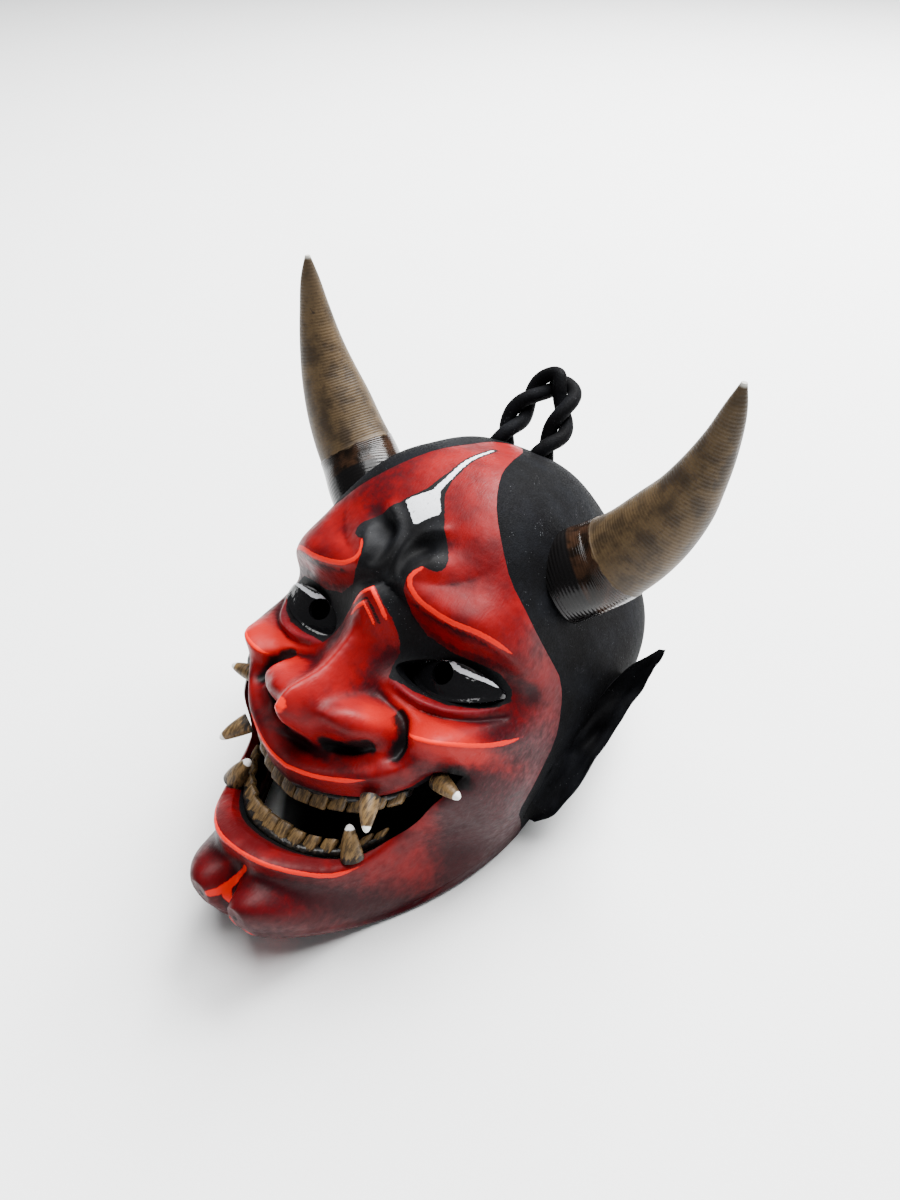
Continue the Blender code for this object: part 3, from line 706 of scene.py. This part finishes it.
def red_paint():
    paint = Paint("painted_red", 0.58, 0.09)
    tone = paint.noise(7.0, 4.0)
    lit = paint.attribute("lit")
    level = paint.add(paint.times(tone, 0.9), paint.times(lit, 0.55))
    red = paint.mix(paint.step(level, 0.25, 0.62), srgb(74, 5, 9), srgb(116, 7, 11))
    red = paint.mix(paint.step(level, 0.6, 1.1), red, srgb(148, 11, 10))
    hairs = paint.noise(0.3, 3.0, paint.stretched((1.0, 0.22, 0.3), (35, 10, 25)))
    patches = paint.noise(1.6, 4.0)
    # Dark wash and painted shade: darker red in hollows and under ledges, with darker paint on the lower
    # sides.
    dark_wash_and_shade = paint.ragged(paint.attribute("dark_wash_and_shade"), patches, 0.7)
    red = paint.mix(paint.step(dark_wash_and_shade, 0.1, 0.85, 0.0, 0.92), red, srgb(34, 4, 9))
    # Pinkish dry-brush, partly painted sheen on raised ridges, the lower lid and the sides.
    dry_brush_and_sheen = paint.ragged(paint.attribute("dry_brush_and_sheen"), hairs, 1.7)
    red = paint.mix(paint.step(dry_brush_and_sheen, 0.3, 1.1, 0.0, 0.4), red, srgb(104, 38, 48))
    # Black grime specks, laid only where the painted shade is, so they darken it further.
    grime_specks_in_shade = paint.step(paint.noise(0.6, 4.0, rough=0.65), 0.57, 0.64)
    grime_specks_in_shade = paint.times(grime_specks_in_shade, paint.step(dark_wash_and_shade, 0.2, 0.8))
    red = paint.mix(paint.times(grime_specks_in_shade, 0.4), red, BLACK)
    glow = paint.ragged(paint.attribute("glow"), paint.noise(0.7, 3.0), 0.5)
    red = paint.mix(paint.step(glow, 0.0, 0.3), red, srgb(205, 22, 5))
    brushed = paint.noise(0.8, 4.0)
    # Painted shade: black in the nostrils, the grooves round the nose wings and the nose's root line.
    deep_shade = paint.ragged(paint.attribute("deep_shade"), patches, 0.6)
    red = paint.mix(paint.step(deep_shade, 0.35, 0.75, 0.0, 0.96), red, BLACK)
    black = paint.step(paint.ragged(paint.attribute("black"), brushed, 0.45), -0.06, 0.1)
    colour = paint.mix(black, red, matte_black_of(paint))
    lozenge = paint.ragged(paint.attribute("lozenge"), brushed, 0.7)
    colour = paint.mix(paint.step(lozenge, -0.55, -0.4), colour, srgb(14, 14, 16))
    worn = paint.step(paint.noise(0.7, 5.0, paint.stretched((1.0, 0.45, 1.0), (0, 0, 30)), 0.75), 0.6, 0.66)
    white = paint.mix(paint.times(worn, 0.7), srgb(222, 225, 230), srgb(70, 73, 78))
    colour = paint.mix(paint.step(lozenge, -0.04, 0.05), colour, white)
    paint.colour(colour)
    paint.rough(paint.step(paint.add(patches, paint.times(black, 0.5)), 0.2, 1.0, 0.36, 0.62))
    paint.bump(paint.add(paint.times(hairs, 0.5), paint.times(patches, 0.8)), 0.09)
    return paint.mat


def black_paint(name="matte_black"):
    paint = Paint(name, 0.8, 0.03)
    paint.colour(matte_black_of(paint))
    grain = paint.noise(0.3, 3.0)
    paint.rough(paint.step(grain, 0.3, 0.8, 0.6, 0.85))
    paint.bump(paint.add(grain, paint.times(paint.noise(2.5, 3.0), 1.5)), 0.1)
    return paint.mat


def eye_paint():
    paint = Paint("gloss_black", 0.12, 0.22)
    grain = paint.noise(0.5, 4.0)
    # White marks of silver brushwork and painted highlight along the top of the eye.
    share = paint.step(paint.ragged(paint.attribute("silver_and_highlight"), grain, 0.9), 0.1, 0.3)
    paint.colour(paint.mix(share, paint.mix(grain, BLACK, srgb(20, 20, 22)), srgb(208, 211, 216)))
    paint.rough(paint.step(share, 0.0, 1.0, 0.1, 0.4))
    paint.bump(paint.noise(1.2, 2.0), 0.12)
    return paint.mat


def horn_paint():
    paint = Paint("horn_brown", 0.5, 0.18)
    along = paint.attribute("along")
    edge = paint.ragged(along, paint.noise(3.0, 3.0), 0.05)
    tone = paint.noise(5.0, 5.0, rough=0.6)
    mottle = paint.mix(paint.step(tone, 0.36, 0.62), srgb(46, 36, 24), srgb(74, 59, 39))
    fine = paint.step(paint.noise(1.1, 5.0, rough=0.65), 0.5, 0.72, 0.0, 0.6)
    mottle = paint.mix(fine, mottle, srgb(44, 32, 23))
    spots = paint.times(paint.step(paint.noise(2.4, 5.0, rough=0.7), 0.66, 0.74), 0.8)
    mottle = paint.mix(spots, mottle, srgb(26, 20, 16))
    mottle = paint.mix(paint.step(along, 0.72, 1.0, 0.0, 0.6), mottle, srgb(58, 48, 36))
    mottle = paint.mix(paint.step(along, 0.985, 0.998, 0.0, 0.8), mottle, srgb(190, 188, 180))
    band_tone = paint.noise(2.6, 4.0, paint.stretched((1.0, 1.0, 0.4)))
    band = paint.mix(paint.step(band_tone, 0.35, 0.68), srgb(12, 7, 4), srgb(40, 25, 15))
    in_band = paint.step(edge, HORN_BAND_SHARE, HORN_BAND_SHARE - 0.01)
    paint.rough(paint.step(in_band, 0.0, 1.0, 0.5, 0.2))
    rim = paint.step(along, HORN_RIM_SHARE, HORN_RIM_SHARE - 0.01)
    paint.colour(paint.mix(rim, paint.mix(in_band, mottle, band), srgb(9, 8, 8)))
    grooves = paint.math("SINE", paint.times(along, 520.0))
    paint.bump(paint.add(paint.times(grooves, 0.12), paint.times(tone, 1.2)), 0.14)
    return paint.mat


def tooth_paint():
    paint = Paint("aged_ivory", 0.45, 0.3)
    along = paint.attribute("along")
    streaks = paint.noise(0.45, 4.0, paint.stretched((1.0, 0.22, 0.22), (40, 0, 0)), 0.65)
    tan = paint.mix(paint.step(streaks, 0.38, 0.62), srgb(60, 46, 28), srgb(112, 88, 55))
    # Darker towards the root, where the teeth meet the gum and the fangs leave the mouth.
    dark = paint.ragged(paint.step(along, 0.35, 0.0), streaks, -2.4)
    tan = paint.mix(paint.step(dark, 0.45, 0.95, 0.0, 0.95), tan, srgb(24, 20, 17))
    tip = paint.step(paint.ragged(along, streaks, 0.06), 0.82, 0.86)
    paint.colour(paint.mix(paint.times(tip, paint.attribute("white_tip")), tan, srgb(232, 230, 226)))
    paint.bump(streaks, 0.12)
    return paint.mat


def gum_paint():
    paint = Paint("gum_black", 0.35, 0.3)
    grain = paint.noise(0.8, 4.0)
    paint.colour(paint.mix(paint.step(grain, 0.45, 0.7), srgb(18, 17, 17), srgb(46, 40, 34)))
    paint.bump(grain, 0.2)
    return paint.mat


def floor_paint():
    """Pale table, painted black under the hollow, where no light would reach."""
    paint = Paint("pale_floor", 0.75)
    pale = paint.mix(paint.noise(60.0, 2.0), srgb(238, 239, 239), srgb(241, 242, 242))
    centre = paint.node("VectorMath")
    centre.operation = "LENGTH"
    half_x, half_y, middle_y = 0.030, 0.051, 0.0065
    oval = paint.stretched((1 / half_x, 1 / half_y, 0.0), place=(0.0, -middle_y / half_y, 0.0))
    paint.put(centre.inputs[0], oval)
    under = paint.step(centre.outputs["Value"], 1.0, 0.9)
    paint.colour(paint.mix(under, pale, srgb(7, 7, 8)))
    paint.bump(paint.noise(0.8, 3.0), 0.03)
    return paint.mat


# --- the shells

def dome_grid(rows, columns, share=1.0):
    """The sculpted surface as a grid of points: rows from front to back, columns from side to side."""
    turn = np.linspace(0.0, 1.0, rows)
    theta = np.radians(smooth_curve(turn, [0.0, 0.08, 0.45, 0.76, 1.0], [0.0, 12.0, 62.0, 112.0, 180.0]))
    across = np.linspace(-1.0, 1.0, columns)
    phi = math.pi / 2 * (0.72 * across + 0.28 * across**3)
    return np.stack(mask_surface(*np.meshgrid(theta, phi, indexing="ij"), share), axis=-1)


def dome_block(name, grid):
    """The grid closed into a solid block; its two side columns each shrink to one point."""
    rows, columns = grid.shape[:2]
    points = np.concatenate([grid[0, :1], grid[0, -1:], grid[:, 1:-1].reshape(-1, 3)])
    index = np.zeros((rows, columns), int)
    index[:, -1] = 1
    index[:, 1:-1] = 2 + np.arange(rows * (columns - 2)).reshape(rows, -1)
    corners = np.stack([index[:-1, :-1], index[:-1, 1:], index[1:, 1:], index[1:, :-1]], axis=-1)
    faces = [tuple(dict.fromkeys(face)) for face in corners.reshape(-1, 4).tolist()]
    faces.append(tuple(index[0].tolist() + index[-1, -2:0:-1].tolist()))
    return mesh_object(name, points, faces)


def seam_cone(name):
    """A cone from inside the head through the seam, which parts the face from the skull."""
    right = SEAM_FRONT[::-1] + [tuple(p) for p in smooth_path(SEAM, 40)]
    left = [(-x, y, z) for x, y, z in reversed(right) if abs(x) > 1e-9]
    outline = np.array(right + left)
    apex = np.array(SEAM_APEX)
    rays = unit(outline - apex)
    points = [apex, apex + SEAM_CAP * np.array(CROWN_AXIS)] + list(apex + SEAM_REACH * rays)
    count = len(outline)
    faces = []
    for i in range(count):
        a, b = 2 + i, 2 + (i + 1) % count
        faces += [(0, a, b), (1, b, a)]
    return cutter_object(name, points, faces)


def cutter_prism(name, outline, low, high):
    """A bar straight through the face, from one depth to another."""
    rings = [upright([(x, v, w) for x, v in outline]) for w in (low, high)]
    return cutter_object(name, *loft_parts(rings))


def eye_outline(side, inset, count):
    """The almond of an eye opening as (x, v) points; its outer corner sits lower than its inner one."""
    turn = math.radians(EYE_TURN)
    points = []
    for i in range(count):
        a = 2 * math.pi * i / count
        along = (EYE_HALF_LENGTH - inset) * math.cos(a)
        height = (EYE_HALF_HEIGHT - inset) * math.sin(a) * (1.0 - 0.25 * math.cos(a) ** 2)
        x = EYE_CENTRE[0] + along * math.cos(turn) - height * math.sin(turn)
        v = EYE_CENTRE[1] + along * math.sin(turn) + height * math.cos(turn)
        points.append((side * x, v))
    return points


def stroke(x, v, line, half_width, start, end):
    """Positive within half_width of a line, for the stretch of it between two shares of its length."""
    away, along = line_distance(x, v, smooth_path(np.array(line)[:, :2], 3 * len(line)))
    taper = smoothstep(along, start - 0.02, start + 0.1) * smoothstep(along, end + 0.02, end - 0.12)
    return np.where(taper > 0.02, taper - away / half_width, -1.0)


def glow_of(x, v):
    """Positive on the bright edges of brow, cheeks, lips, wrinkles and chin, and on the nose's tip."""
    left = x < 0
    glow = 1.0 - np.hypot(x - NOSE_TIP_DOT[0], (v - NOSE_TIP_DOT[1]) * 0.75) / 1.3
    for line, widths, start, ends in EDGE_STROKES:
        width, end = np.where(left, widths[1], widths[0]), np.where(left, ends[1], ends[0])
        glow = np.maximum(glow, stroke(np.abs(x), v, line, width, start, end))
    for line in CHIN_STROKES:
        glow = np.maximum(glow, stroke(x, v, line, 0.7, -0.1, 1.0))
    return glow


def paint_face(obj, cavity):
    """Stores the painted areas as values on the vertices, for the material to read."""
    points = vertices_of(obj)
    x, v, w = table_to_face(*points.T)
    side = np.abs(x)
    inner = w < surface_height(x, v) - 1.2
    front = smoothstep(w, -34.0, -22.0)
    black = np.maximum(inside_distance(side, v, BLACK_PANEL), -4.0)
    set_attribute(obj, "black", np.where(inner & (w > -20), 3.0, np.where(front > 0.5, black, -4.0)))
    lozenge = inside_distance(x, v, LOZENGE)
    away, along = line_distance(x, v, smooth_path(LOZENGE_TAIL, 12))
    set_attribute(obj, "lozenge", np.maximum(lozenge, 0.75 - 0.45 * along - away))
    set_attribute(obj, "glow", np.where(front > 0.5, glow_of(x, v), -1.0))
    # Painted shade in the sculpt's hollows and under its ledges, with darker paint on the lower sides and
    # the left forehead.
    dark_wash_and_shade = np.clip(-cavity * 1.3, 0.0, 1.0) + pads(side, v, WASH_AND_SHADE_PATCHES)
    dark_wash_and_shade += 0.75 * smoothstep(side, 24.0, 32.0) * smoothstep(v, 10.0, -6.0)
    dark_wash_and_shade += 0.6 * smoothstep(x, -2.0, -12.0) * smoothstep(v, 18.0, 28.0)
    set_attribute(obj, "dark_wash_and_shade", np.clip(dark_wash_and_shade, 0.0, 1.3))
    # Pinkish dry-brush and painted sheen: the lower sides, the lower lid's ridge and the raised ridges of
    # the sculpt.
    dry_brush_and_sheen = smoothstep(side, 29.5, 34.5) * smoothstep(v, -34.0, -12.0) * 0.4
    dry_brush_and_sheen += smoothstep(w, -6.0, -20.0) * 0.15
    dry_brush_and_sheen += stroke(side, v, LOWER_LID, 1.6, -0.1, 1.0).clip(0, 1) * 0.8
    dry_brush_and_sheen += pad(side, v, (8.0, -9.0), (3.5, 2.0), 0.4) + np.clip(cavity, 0.0, 0.4) * 0.6
    set_attribute(obj, "dry_brush_and_sheen", np.clip(dry_brush_and_sheen, 0.0, 1.2))
    # Painted shade, black in the nostrils, the grooves round the nose wings, the nose's root line, under
    # the nose and at the mouth's corners.
    deep_shade = stroke(side, v, NOSTRIL, 1.9, -0.2, 1.2).clip(0, 1) * 1.3
    deep_shade += stroke(side, v, WING_GROOVE, 2.6, 0.35, 1.1).clip(0, 1) * 1.1
    deep_shade += stroke(side, v, NOSE_ROOT_LINE, 0.7, -0.1, 1.0).clip(0, 1) * 0.9
    deep_shade += pad(side, v, (28.4, -17.6), (2.8, 2.2), 1.2) + pad(side, v, (6.0, -24.2), (4.5, 1.2), 0.35)
    set_attribute(obj, "deep_shade", np.clip(deep_shade, 0.0, 1.3))
    set_attribute(obj, "lit", pads(side, v, LIGHTS_ON_RED) - 0.6 * smoothstep(v, -50.0, -58.0))


def make_shells(red, black):
    """The hollow head, cut along the seam into face and skull, with the mouth and eye openings."""
    grid = dome_grid(ROWS, COLUMNS)
    face = dome_block("face_piece", grid)
    centre = np.array([0.0, CENTRE_Y, 0.0])
    rays = dome_grid(HOLLOW_ROWS, HOLLOW_COLUMNS, share=0.3) - centre
    inner = centre + rays * (1.0 - WALL / np.linalg.norm(rays, axis=-1, keepdims=True))
    hollow = dome_block("hollow_form", inner)
    hollow.location.z = -HOLLOW_DROP * MM
    cut(face, hollow, "DIFFERENCE")
    skull = add_object("skull_piece", face.data.copy())
    cone = seam_cone("cone")
    cut(face, cone, "INTERSECT")
    cut(skull, cone, "DIFFERENCE")
    mouth = smooth_path(MOUTH_TOP, 20)[:-1].tolist() + smooth_path(MOUTH_BOTTOM, 20)[::-1].tolist()
    outline = mouth + [[-x, v] for x, v in reversed(mouth) if abs(x) > 1e-6]
    cutters = [cutter_prism("mouth_cutter", outline, -22.0, 40.0)]
    for side, word in SIDES:
        cutters.append(cutter_prism("eye_cutter_" + word, eye_outline(side, 0.0, 48), -22.0, 30.0))
    for other in cutters:
        cut(face, other, "DIFFERENCE")
    drop(hollow, cone, *cutters)
    cavity = cavity_of(grid).ravel()
    tree = KDTree(cavity.size)
    for i, point in enumerate(grid.reshape(-1, 3)):
        tree.insert(point, i)
    tree.balance()
    paint_face(face, np.array([cavity[tree.find(point)[1]] for point in vertices_of(face)]))
    for obj, mat, node, slot in (
        (face, red, "face_shell", "painted_red"), (skull, black, "skull_shell", "matte_black"),
    ):
        obj.data.materials.clear()
        obj.data.materials.append(mat)
        finish_piece(obj, node, 40.0)


def cavity_of(grid):
    """How far each point stands out of its surroundings, in millimetres: hollows are negative."""
    def blurred(values, reach):
        for axis in (0, 1):
            padded = np.pad(values.swapaxes(0, axis), ((reach, reach), (0, 0), (0, 0)), mode="edge")
            total = np.cumsum(np.pad(padded, ((1, 0), (0, 0), (0, 0))), axis=0)
            values = (total[2 * reach + 1:] - total[:-2 * reach - 1]).swapaxes(0, axis) / (2 * reach + 1)
        return values

    around = blurred(blurred(grid, 5), 5)
    normals = np.cross(np.gradient(grid, axis=1), np.gradient(grid, axis=0))
    lengths = np.linalg.norm(normals, axis=-1, keepdims=True)
    normals /= np.maximum(lengths, 1e-9)
    outward = np.sign((normals * (grid - np.array([0.0, CENTRE_Y, 0.0]))).sum(-1))
    return ((grid - around) * normals).sum(-1) * outward


def finish_piece(obj, node, sharp_angle=60.0):
    obj.data.shade_smooth()
    obj.data.set_sharp_from_angle(angle=math.radians(sharp_angle))
    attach(obj, "root")
    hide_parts(node)


# --- horns, ears, eyes, teeth and loop

def sided(side, points):
    """Points given for the right side, on the side wanted."""
    points = np.array(points, float)
    points[..., 0] *= side
    return points


def make_horn(side, node, mat):
    count, sides = 150, 48
    run = smooth_path(sided(side, HORN), count)
    share = np.linspace(0.0, 1.0, count)
    radii = np.maximum(run[:, 3], 0.05) * HORN_BASE_DIAMETER / 2
    radii = radii * np.where(share < HORN_BAND_SHARE, 1.02, 1.0)
    rings = tube_rings(run[:, :3], radii, sides)
    obj = loft(node + "_piece", rings, mat)
    set_attribute(obj, "along", np.repeat(share, sides))
    finish_piece(obj, node)


def make_ear(side, node, mat):
    """A crescent in section: its inner face is hollow, with two pits, a fold and a rolled outer rim."""
    chance = np.random.default_rng(11)
    stations = np.array(EAR).reshape(len(EAR), 9)
    fine = smooth_path(stations, 70)
    across = np.linspace(0.0, 1.0, 22)
    rings = []
    for k, station in enumerate(fine):
        s = k / (len(fine) - 1)
        front, edge, back = station[:3], station[3:6], station[6:]
        depth = np.linalg.norm(back - front)
        inward = (back - front) / max(depth, 1e-6)
        bowl = 0.26 * depth * np.sin(math.pi * across) ** 0.8
        fold = 0.7 * np.exp(-(((across - 0.8) / 0.1) ** 2))
        fold *= smoothstep(s, 0.1, 0.3) * smoothstep(s, 0.9, 0.6)
        pits = pad(across, s, (0.58, 0.46), (0.17, 0.05), 2.4)
        pits += pad(across, s, (0.3, 0.37), (0.14, 0.045), 1.8)
        inner = front + np.outer(across, edge - front) + np.outer(bowl - fold + pits, inward)
        rim = edge + np.outer([0.07, 0.15], back - front)
        round_back = np.linspace(EAR_RIM_START, 1.0, 14)
        bulge = 0.1 * depth * np.sin(math.pi * round_back)
        outer = edge + np.outer(round_back, back - edge) + np.outer(bulge, inward)
        rings.append(sided(side, np.concatenate([inner, rim, outer])))
    rings = np.array(rings)
    lumps = chance.normal(size=rings.shape)
    for _ in range(9):
        lumps = (np.roll(lumps, 1, 0) + lumps + np.roll(lumps, -1, 0)) / 3
        lumps = (np.roll(lumps, 1, 1) + lumps + np.roll(lumps, -1, 1)) / 3
    from_end = np.minimum(np.arange(len(rings)), np.arange(len(rings))[::-1])
    fade = np.minimum(from_end / 8, 1.0)[:, None, None]
    obj = loft(node + "_piece", rings + lumps * fade * EAR_LUMPS, mat)
    finish_piece(obj, node)


def eyeball_depth(x, v, side, radius):
    """The w of a ball of this radius behind the eye opening."""
    away = (x - side * EYE_CENTRE[0]) ** 2 + (v - EYE_CENTRE[1]) ** 2
    return np.sqrt(radius**2 - away) - EYEBALL_RADIUS + EYEBALL_RISE


def make_eye(side, node, mat):
    """A curved shell that fills the eye opening, with a round pupil hole through it."""
    count = 72
    outline = np.array(eye_outline(side, EYE_GAP, count))
    pupil = np.array([side * PUPIL_CENTRE[0], PUPIL_CENTRE[1]])
    angles = np.arctan2(outline[:, 1] - pupil[1], outline[:, 0] - pupil[0])
    hole = pupil + PUPIL_RADIUS * np.stack([np.cos(angles), np.sin(angles)], axis=-1)
    shares = np.linspace(0.0, 1.0, 14)
    steps = [(part, EYEBALL_RADIUS, LID_RISE * smoothstep(part, 0.75, 1.0)) for part in shares]
    steps += [(part, EYEBALL_RADIUS - EYE_THICKNESS, 0.0) for part in (1.0, 0.5, 0.0)]
    rings, flat = [], []
    for part, radius, lid in steps:
        run = hole + (outline - hole) * part
        rings.append(upright(np.column_stack([run, eyeball_depth(*run.T, side, radius) + lid])))
        flat += run.tolist() if radius == EYEBALL_RADIUS else [(0.0, 99.0)] * count
    points = [p for ring in rings for p in ring]
    faces = []
    for r in range(len(rings)):
        for i in range(count):
            a, b = r * count + i, r * count + (i + 1) % count
            c, d = (a + count) % len(points), (b + count) % len(points)
            faces.append((a, b, d, c))
    obj = mesh_object(node + "_piece", points, faces, mat)
    flat = np.array(flat)
    x, v = np.abs(flat[:, 0]), flat[:, 1]
    # Where the white marks of silver and painted highlight go.
    away_in = line_distance(x, v, SILVER_AND_HIGHLIGHT_INNER)[0]
    away_out, along = line_distance(x, v, SILVER_AND_HIGHLIGHT_OUTER)
    set_attribute(obj, "silver_and_highlight", np.maximum(0.4 - away_in, 1.0 - away_out / (0.75 - 0.35 * along)))
    finish_piece(obj, node, 50.0)


def tooth_rings(base, tip_way, across, width, height):
    """One blunt tooth: rounded-square rings that narrow a little to its worn biting edge."""
    angles = np.linspace(0.0, 2 * math.pi, TOOTH_SIDES, endpoint=False)
    sideways, out = (np.sign(c) * np.abs(c) ** 0.55 / 2 for c in (np.cos(angles), np.sin(angles)))
    section = np.outer(sideways * width, across) + np.outer(out * TOOTH_DEPTH, (0.0, 0.1, 1.0))
    rings = []
    for level in TOOTH_LEVELS:
        grow = 1.0 - 0.06 * (1.0 - level) - 1.1 * max(level - 0.8, 0.0) ** 1.2
        rings.append(upright(base + tip_way * height * level + section * grow))
    return rings


def make_tooth_row(node, edge, bite, curve, teeth, mat, gum_mat, seed):
    """Single teeth along one jaw and a black gum bar. `bite` is -1 for teeth that point down."""
    chance = np.random.default_rng(seed)
    run = smooth_path(edge, 40)
    line = np.array([(-x, v) for x, v in run[:-1]] + [(x, v) for x, v in run[::-1]])
    steps = np.concatenate([[0.0], np.cumsum(np.linalg.norm(np.diff(line, axis=0), axis=1))])
    spacing = steps[-1] / teeth
    points, faces, along, matter = [], [], [], []

    def arch_depth(x, v):
        return float(surface_height(abs(x), v, relief=False)) * 0.25 - curve * x * x

    def add_part(rings, levels, slot):
        new_points, new_faces = loft_parts(rings, len(points))
        points.extend(new_points)
        faces.extend(new_faces)
        along.extend(level * 0.8 for level in levels for _ in rings[0])
        matter.extend([slot] * len(new_faces))

    for i in range(teeth):
        at = (i + 0.5) * spacing
        x, v = (np.interp(at, steps, line[:, k]) for k in (0, 1))
        ahead = unit(np.array([np.interp(at + 0.4, steps, line[:, k]) for k in (0, 1)]) - (x, v))
        share = 1.0 - 0.35 * (x / run[0][0]) ** 2
        height = TOOTH_REACH * share * chance.uniform(0.92, 1.06) + 0.4
        width = spacing * chance.uniform(0.99, 1.04)
        base = np.array([x, v - bite * 0.4, arch_depth(x, v) + 1.7])
        tip_way = np.array([0.0, bite * 0.96, -0.15])
        add_part(tooth_rings(base, tip_way, np.array([*ahead, 0.0]), width, height), TOOTH_LEVELS, 0)
    turn = np.linspace(0.0, 2 * math.pi, GUM_SIDES, endpoint=False)
    section = np.stack([turn * 0.0, 1.15 * np.sin(turn), 1.5 * np.cos(turn)], axis=-1)
    rings = [upright(section + (x, v - bite * 0.35, arch_depth(x, v) + 1.3)) for x, v in line[::2]]
    add_part(rings, [0.0] * len(rings), 1)
    obj = mesh_object(node + "_piece", points, faces, mat)
    obj.data.materials.append(gum_mat)
    obj.data.polygons.foreach_set("material_index", matter)
    set_attribute(obj, "along", along)
    set_attribute(obj, "white_tip", np.zeros(len(along)))
    finish_piece(obj, node)


def make_fang(side, node, fang, mat):
    """A slightly bowed cone with a blunt white tip."""
    (bx, bv, bw), (tx, tv, tw), diameter = fang
    base, tip = np.array([side * bx, bv, bw]), np.array([side * tx, tv, tw])
    share = np.linspace(0.0, 1.0, 26)
    bow = np.outer(np.sin(math.pi * share) * 0.35, (0.0, 0.0, 1.0))
    path = upright(base + np.outer(share, tip - base) + bow)
    radii = diameter / 2 * np.sqrt(1.0 - share**1.7) * (1.0 - 0.25 * share) + 0.12
    obj = loft(node + "_piece", tube_rings(path, radii, FANG_SIDES), mat)
    set_attribute(obj, "along", np.repeat(share, FANG_SIDES))
    set_attribute(obj, "white_tip", np.ones(len(share) * FANG_SIDES))
    finish_piece(obj, node)


def make_loop(mat):
    """Two strands twisted round one upright loop at the crown."""
    count = 200
    path = smooth_path([(-x, y, z) for x, y, z in LOOP[:-1]] + LOOP[::-1], count)
    headings = unit(np.gradient(path, axis=0))
    normal = unit(np.cross(headings, CROWN_AXIS))
    other = np.cross(headings, normal)
    turn = np.linspace(0.0, 2 * math.pi * LOOP_TWISTS, count)
    radius = STRAND_DIAMETER / 2
    for start, word in ((0.0, "front"), (math.pi, "back")):
        spin = np.cos(turn + start)[:, None] * normal + np.sin(turn + start)[:, None] * other
        strand = path + spin * (radius + STRAND_GAP)
        rings = tube_rings(strand, np.full(count, radius), 18)
        obj = loft("loop_strand_" + word + "_piece", rings, mat)
        finish_piece(obj, "loop_strand_" + word)


# --- floor, light and camera

def make_stage():
    mesh = bpy.data.meshes.new("floor")
    corners = [(x * FLOOR_HALF, y * FLOOR_HALF, 0) for x, y in ((-1, -1), (1, -1), (1, 1), (-1, 1))]
    mesh.from_pydata(corners, [], [(0, 1, 2, 3)])
    mesh.materials.append(floor_paint())
    add_object("floor", mesh)
    world = bpy.data.worlds.new("soft_room")
    bpy.context.scene.world = world
    world.use_nodes = True
    back = world.node_tree.nodes["Background"]
    back.inputs["Color"].default_value = (0.96, 0.98, 1.0, 1.0)
    back.inputs["Strength"].default_value = ROOM_LIGHT
    for name, place, size, power in LAMPS:
        lamp = bpy.data.lights.new(name, "AREA")
        lamp.energy = power
        lamp.size = size
        obj = add_object(name, lamp)
        obj.location = place
        obj.rotation_euler = (LAMP_TARGET - Vector(place)).to_track_quat("-Z", "Y").to_euler()


def make_camera():
    aim, right = CAMERA_AIM.normalized(), CAMERA_RIGHT.normalized()
    up = right.cross(aim)
    camera = bpy.data.cameras.new("camera")
    camera.lens = CAMERA_LENS
    camera.sensor_width = CAMERA_SENSOR
    camera.clip_start = 0.005
    matrix = Matrix((right, up, -aim)).transposed().to_4x4()
    matrix.translation = CAMERA_PLACE
    obj = add_object("camera", camera)
    obj.matrix_world = matrix
    bpy.context.scene.camera = obj


def main():
    red, black, gloss = red_paint(), black_paint(), eye_paint()
    horn, ivory, gum = horn_paint(), tooth_paint(), gum_paint()
    make_shells(red, black)
    for side, word in SIDES:
        make_horn(side, "horn_" + word, horn)
        make_ear(side, "ear_" + word, black)
        make_eye(side, "eye_" + word, gloss)
        for name, fang in FANGS.items():
            make_fang(side, name + "_" + word, fang, ivory)
    make_tooth_row("upper_teeth", UPPER_TEETH, -1, 0.012, 12, ivory, gum, 3)
    make_tooth_row("lower_teeth", LOWER_TEETH, 1, 0.02, 14, ivory, gum, 5)
    make_loop(black_paint("loop_black"))
    make_stage()
    make_camera()


main()
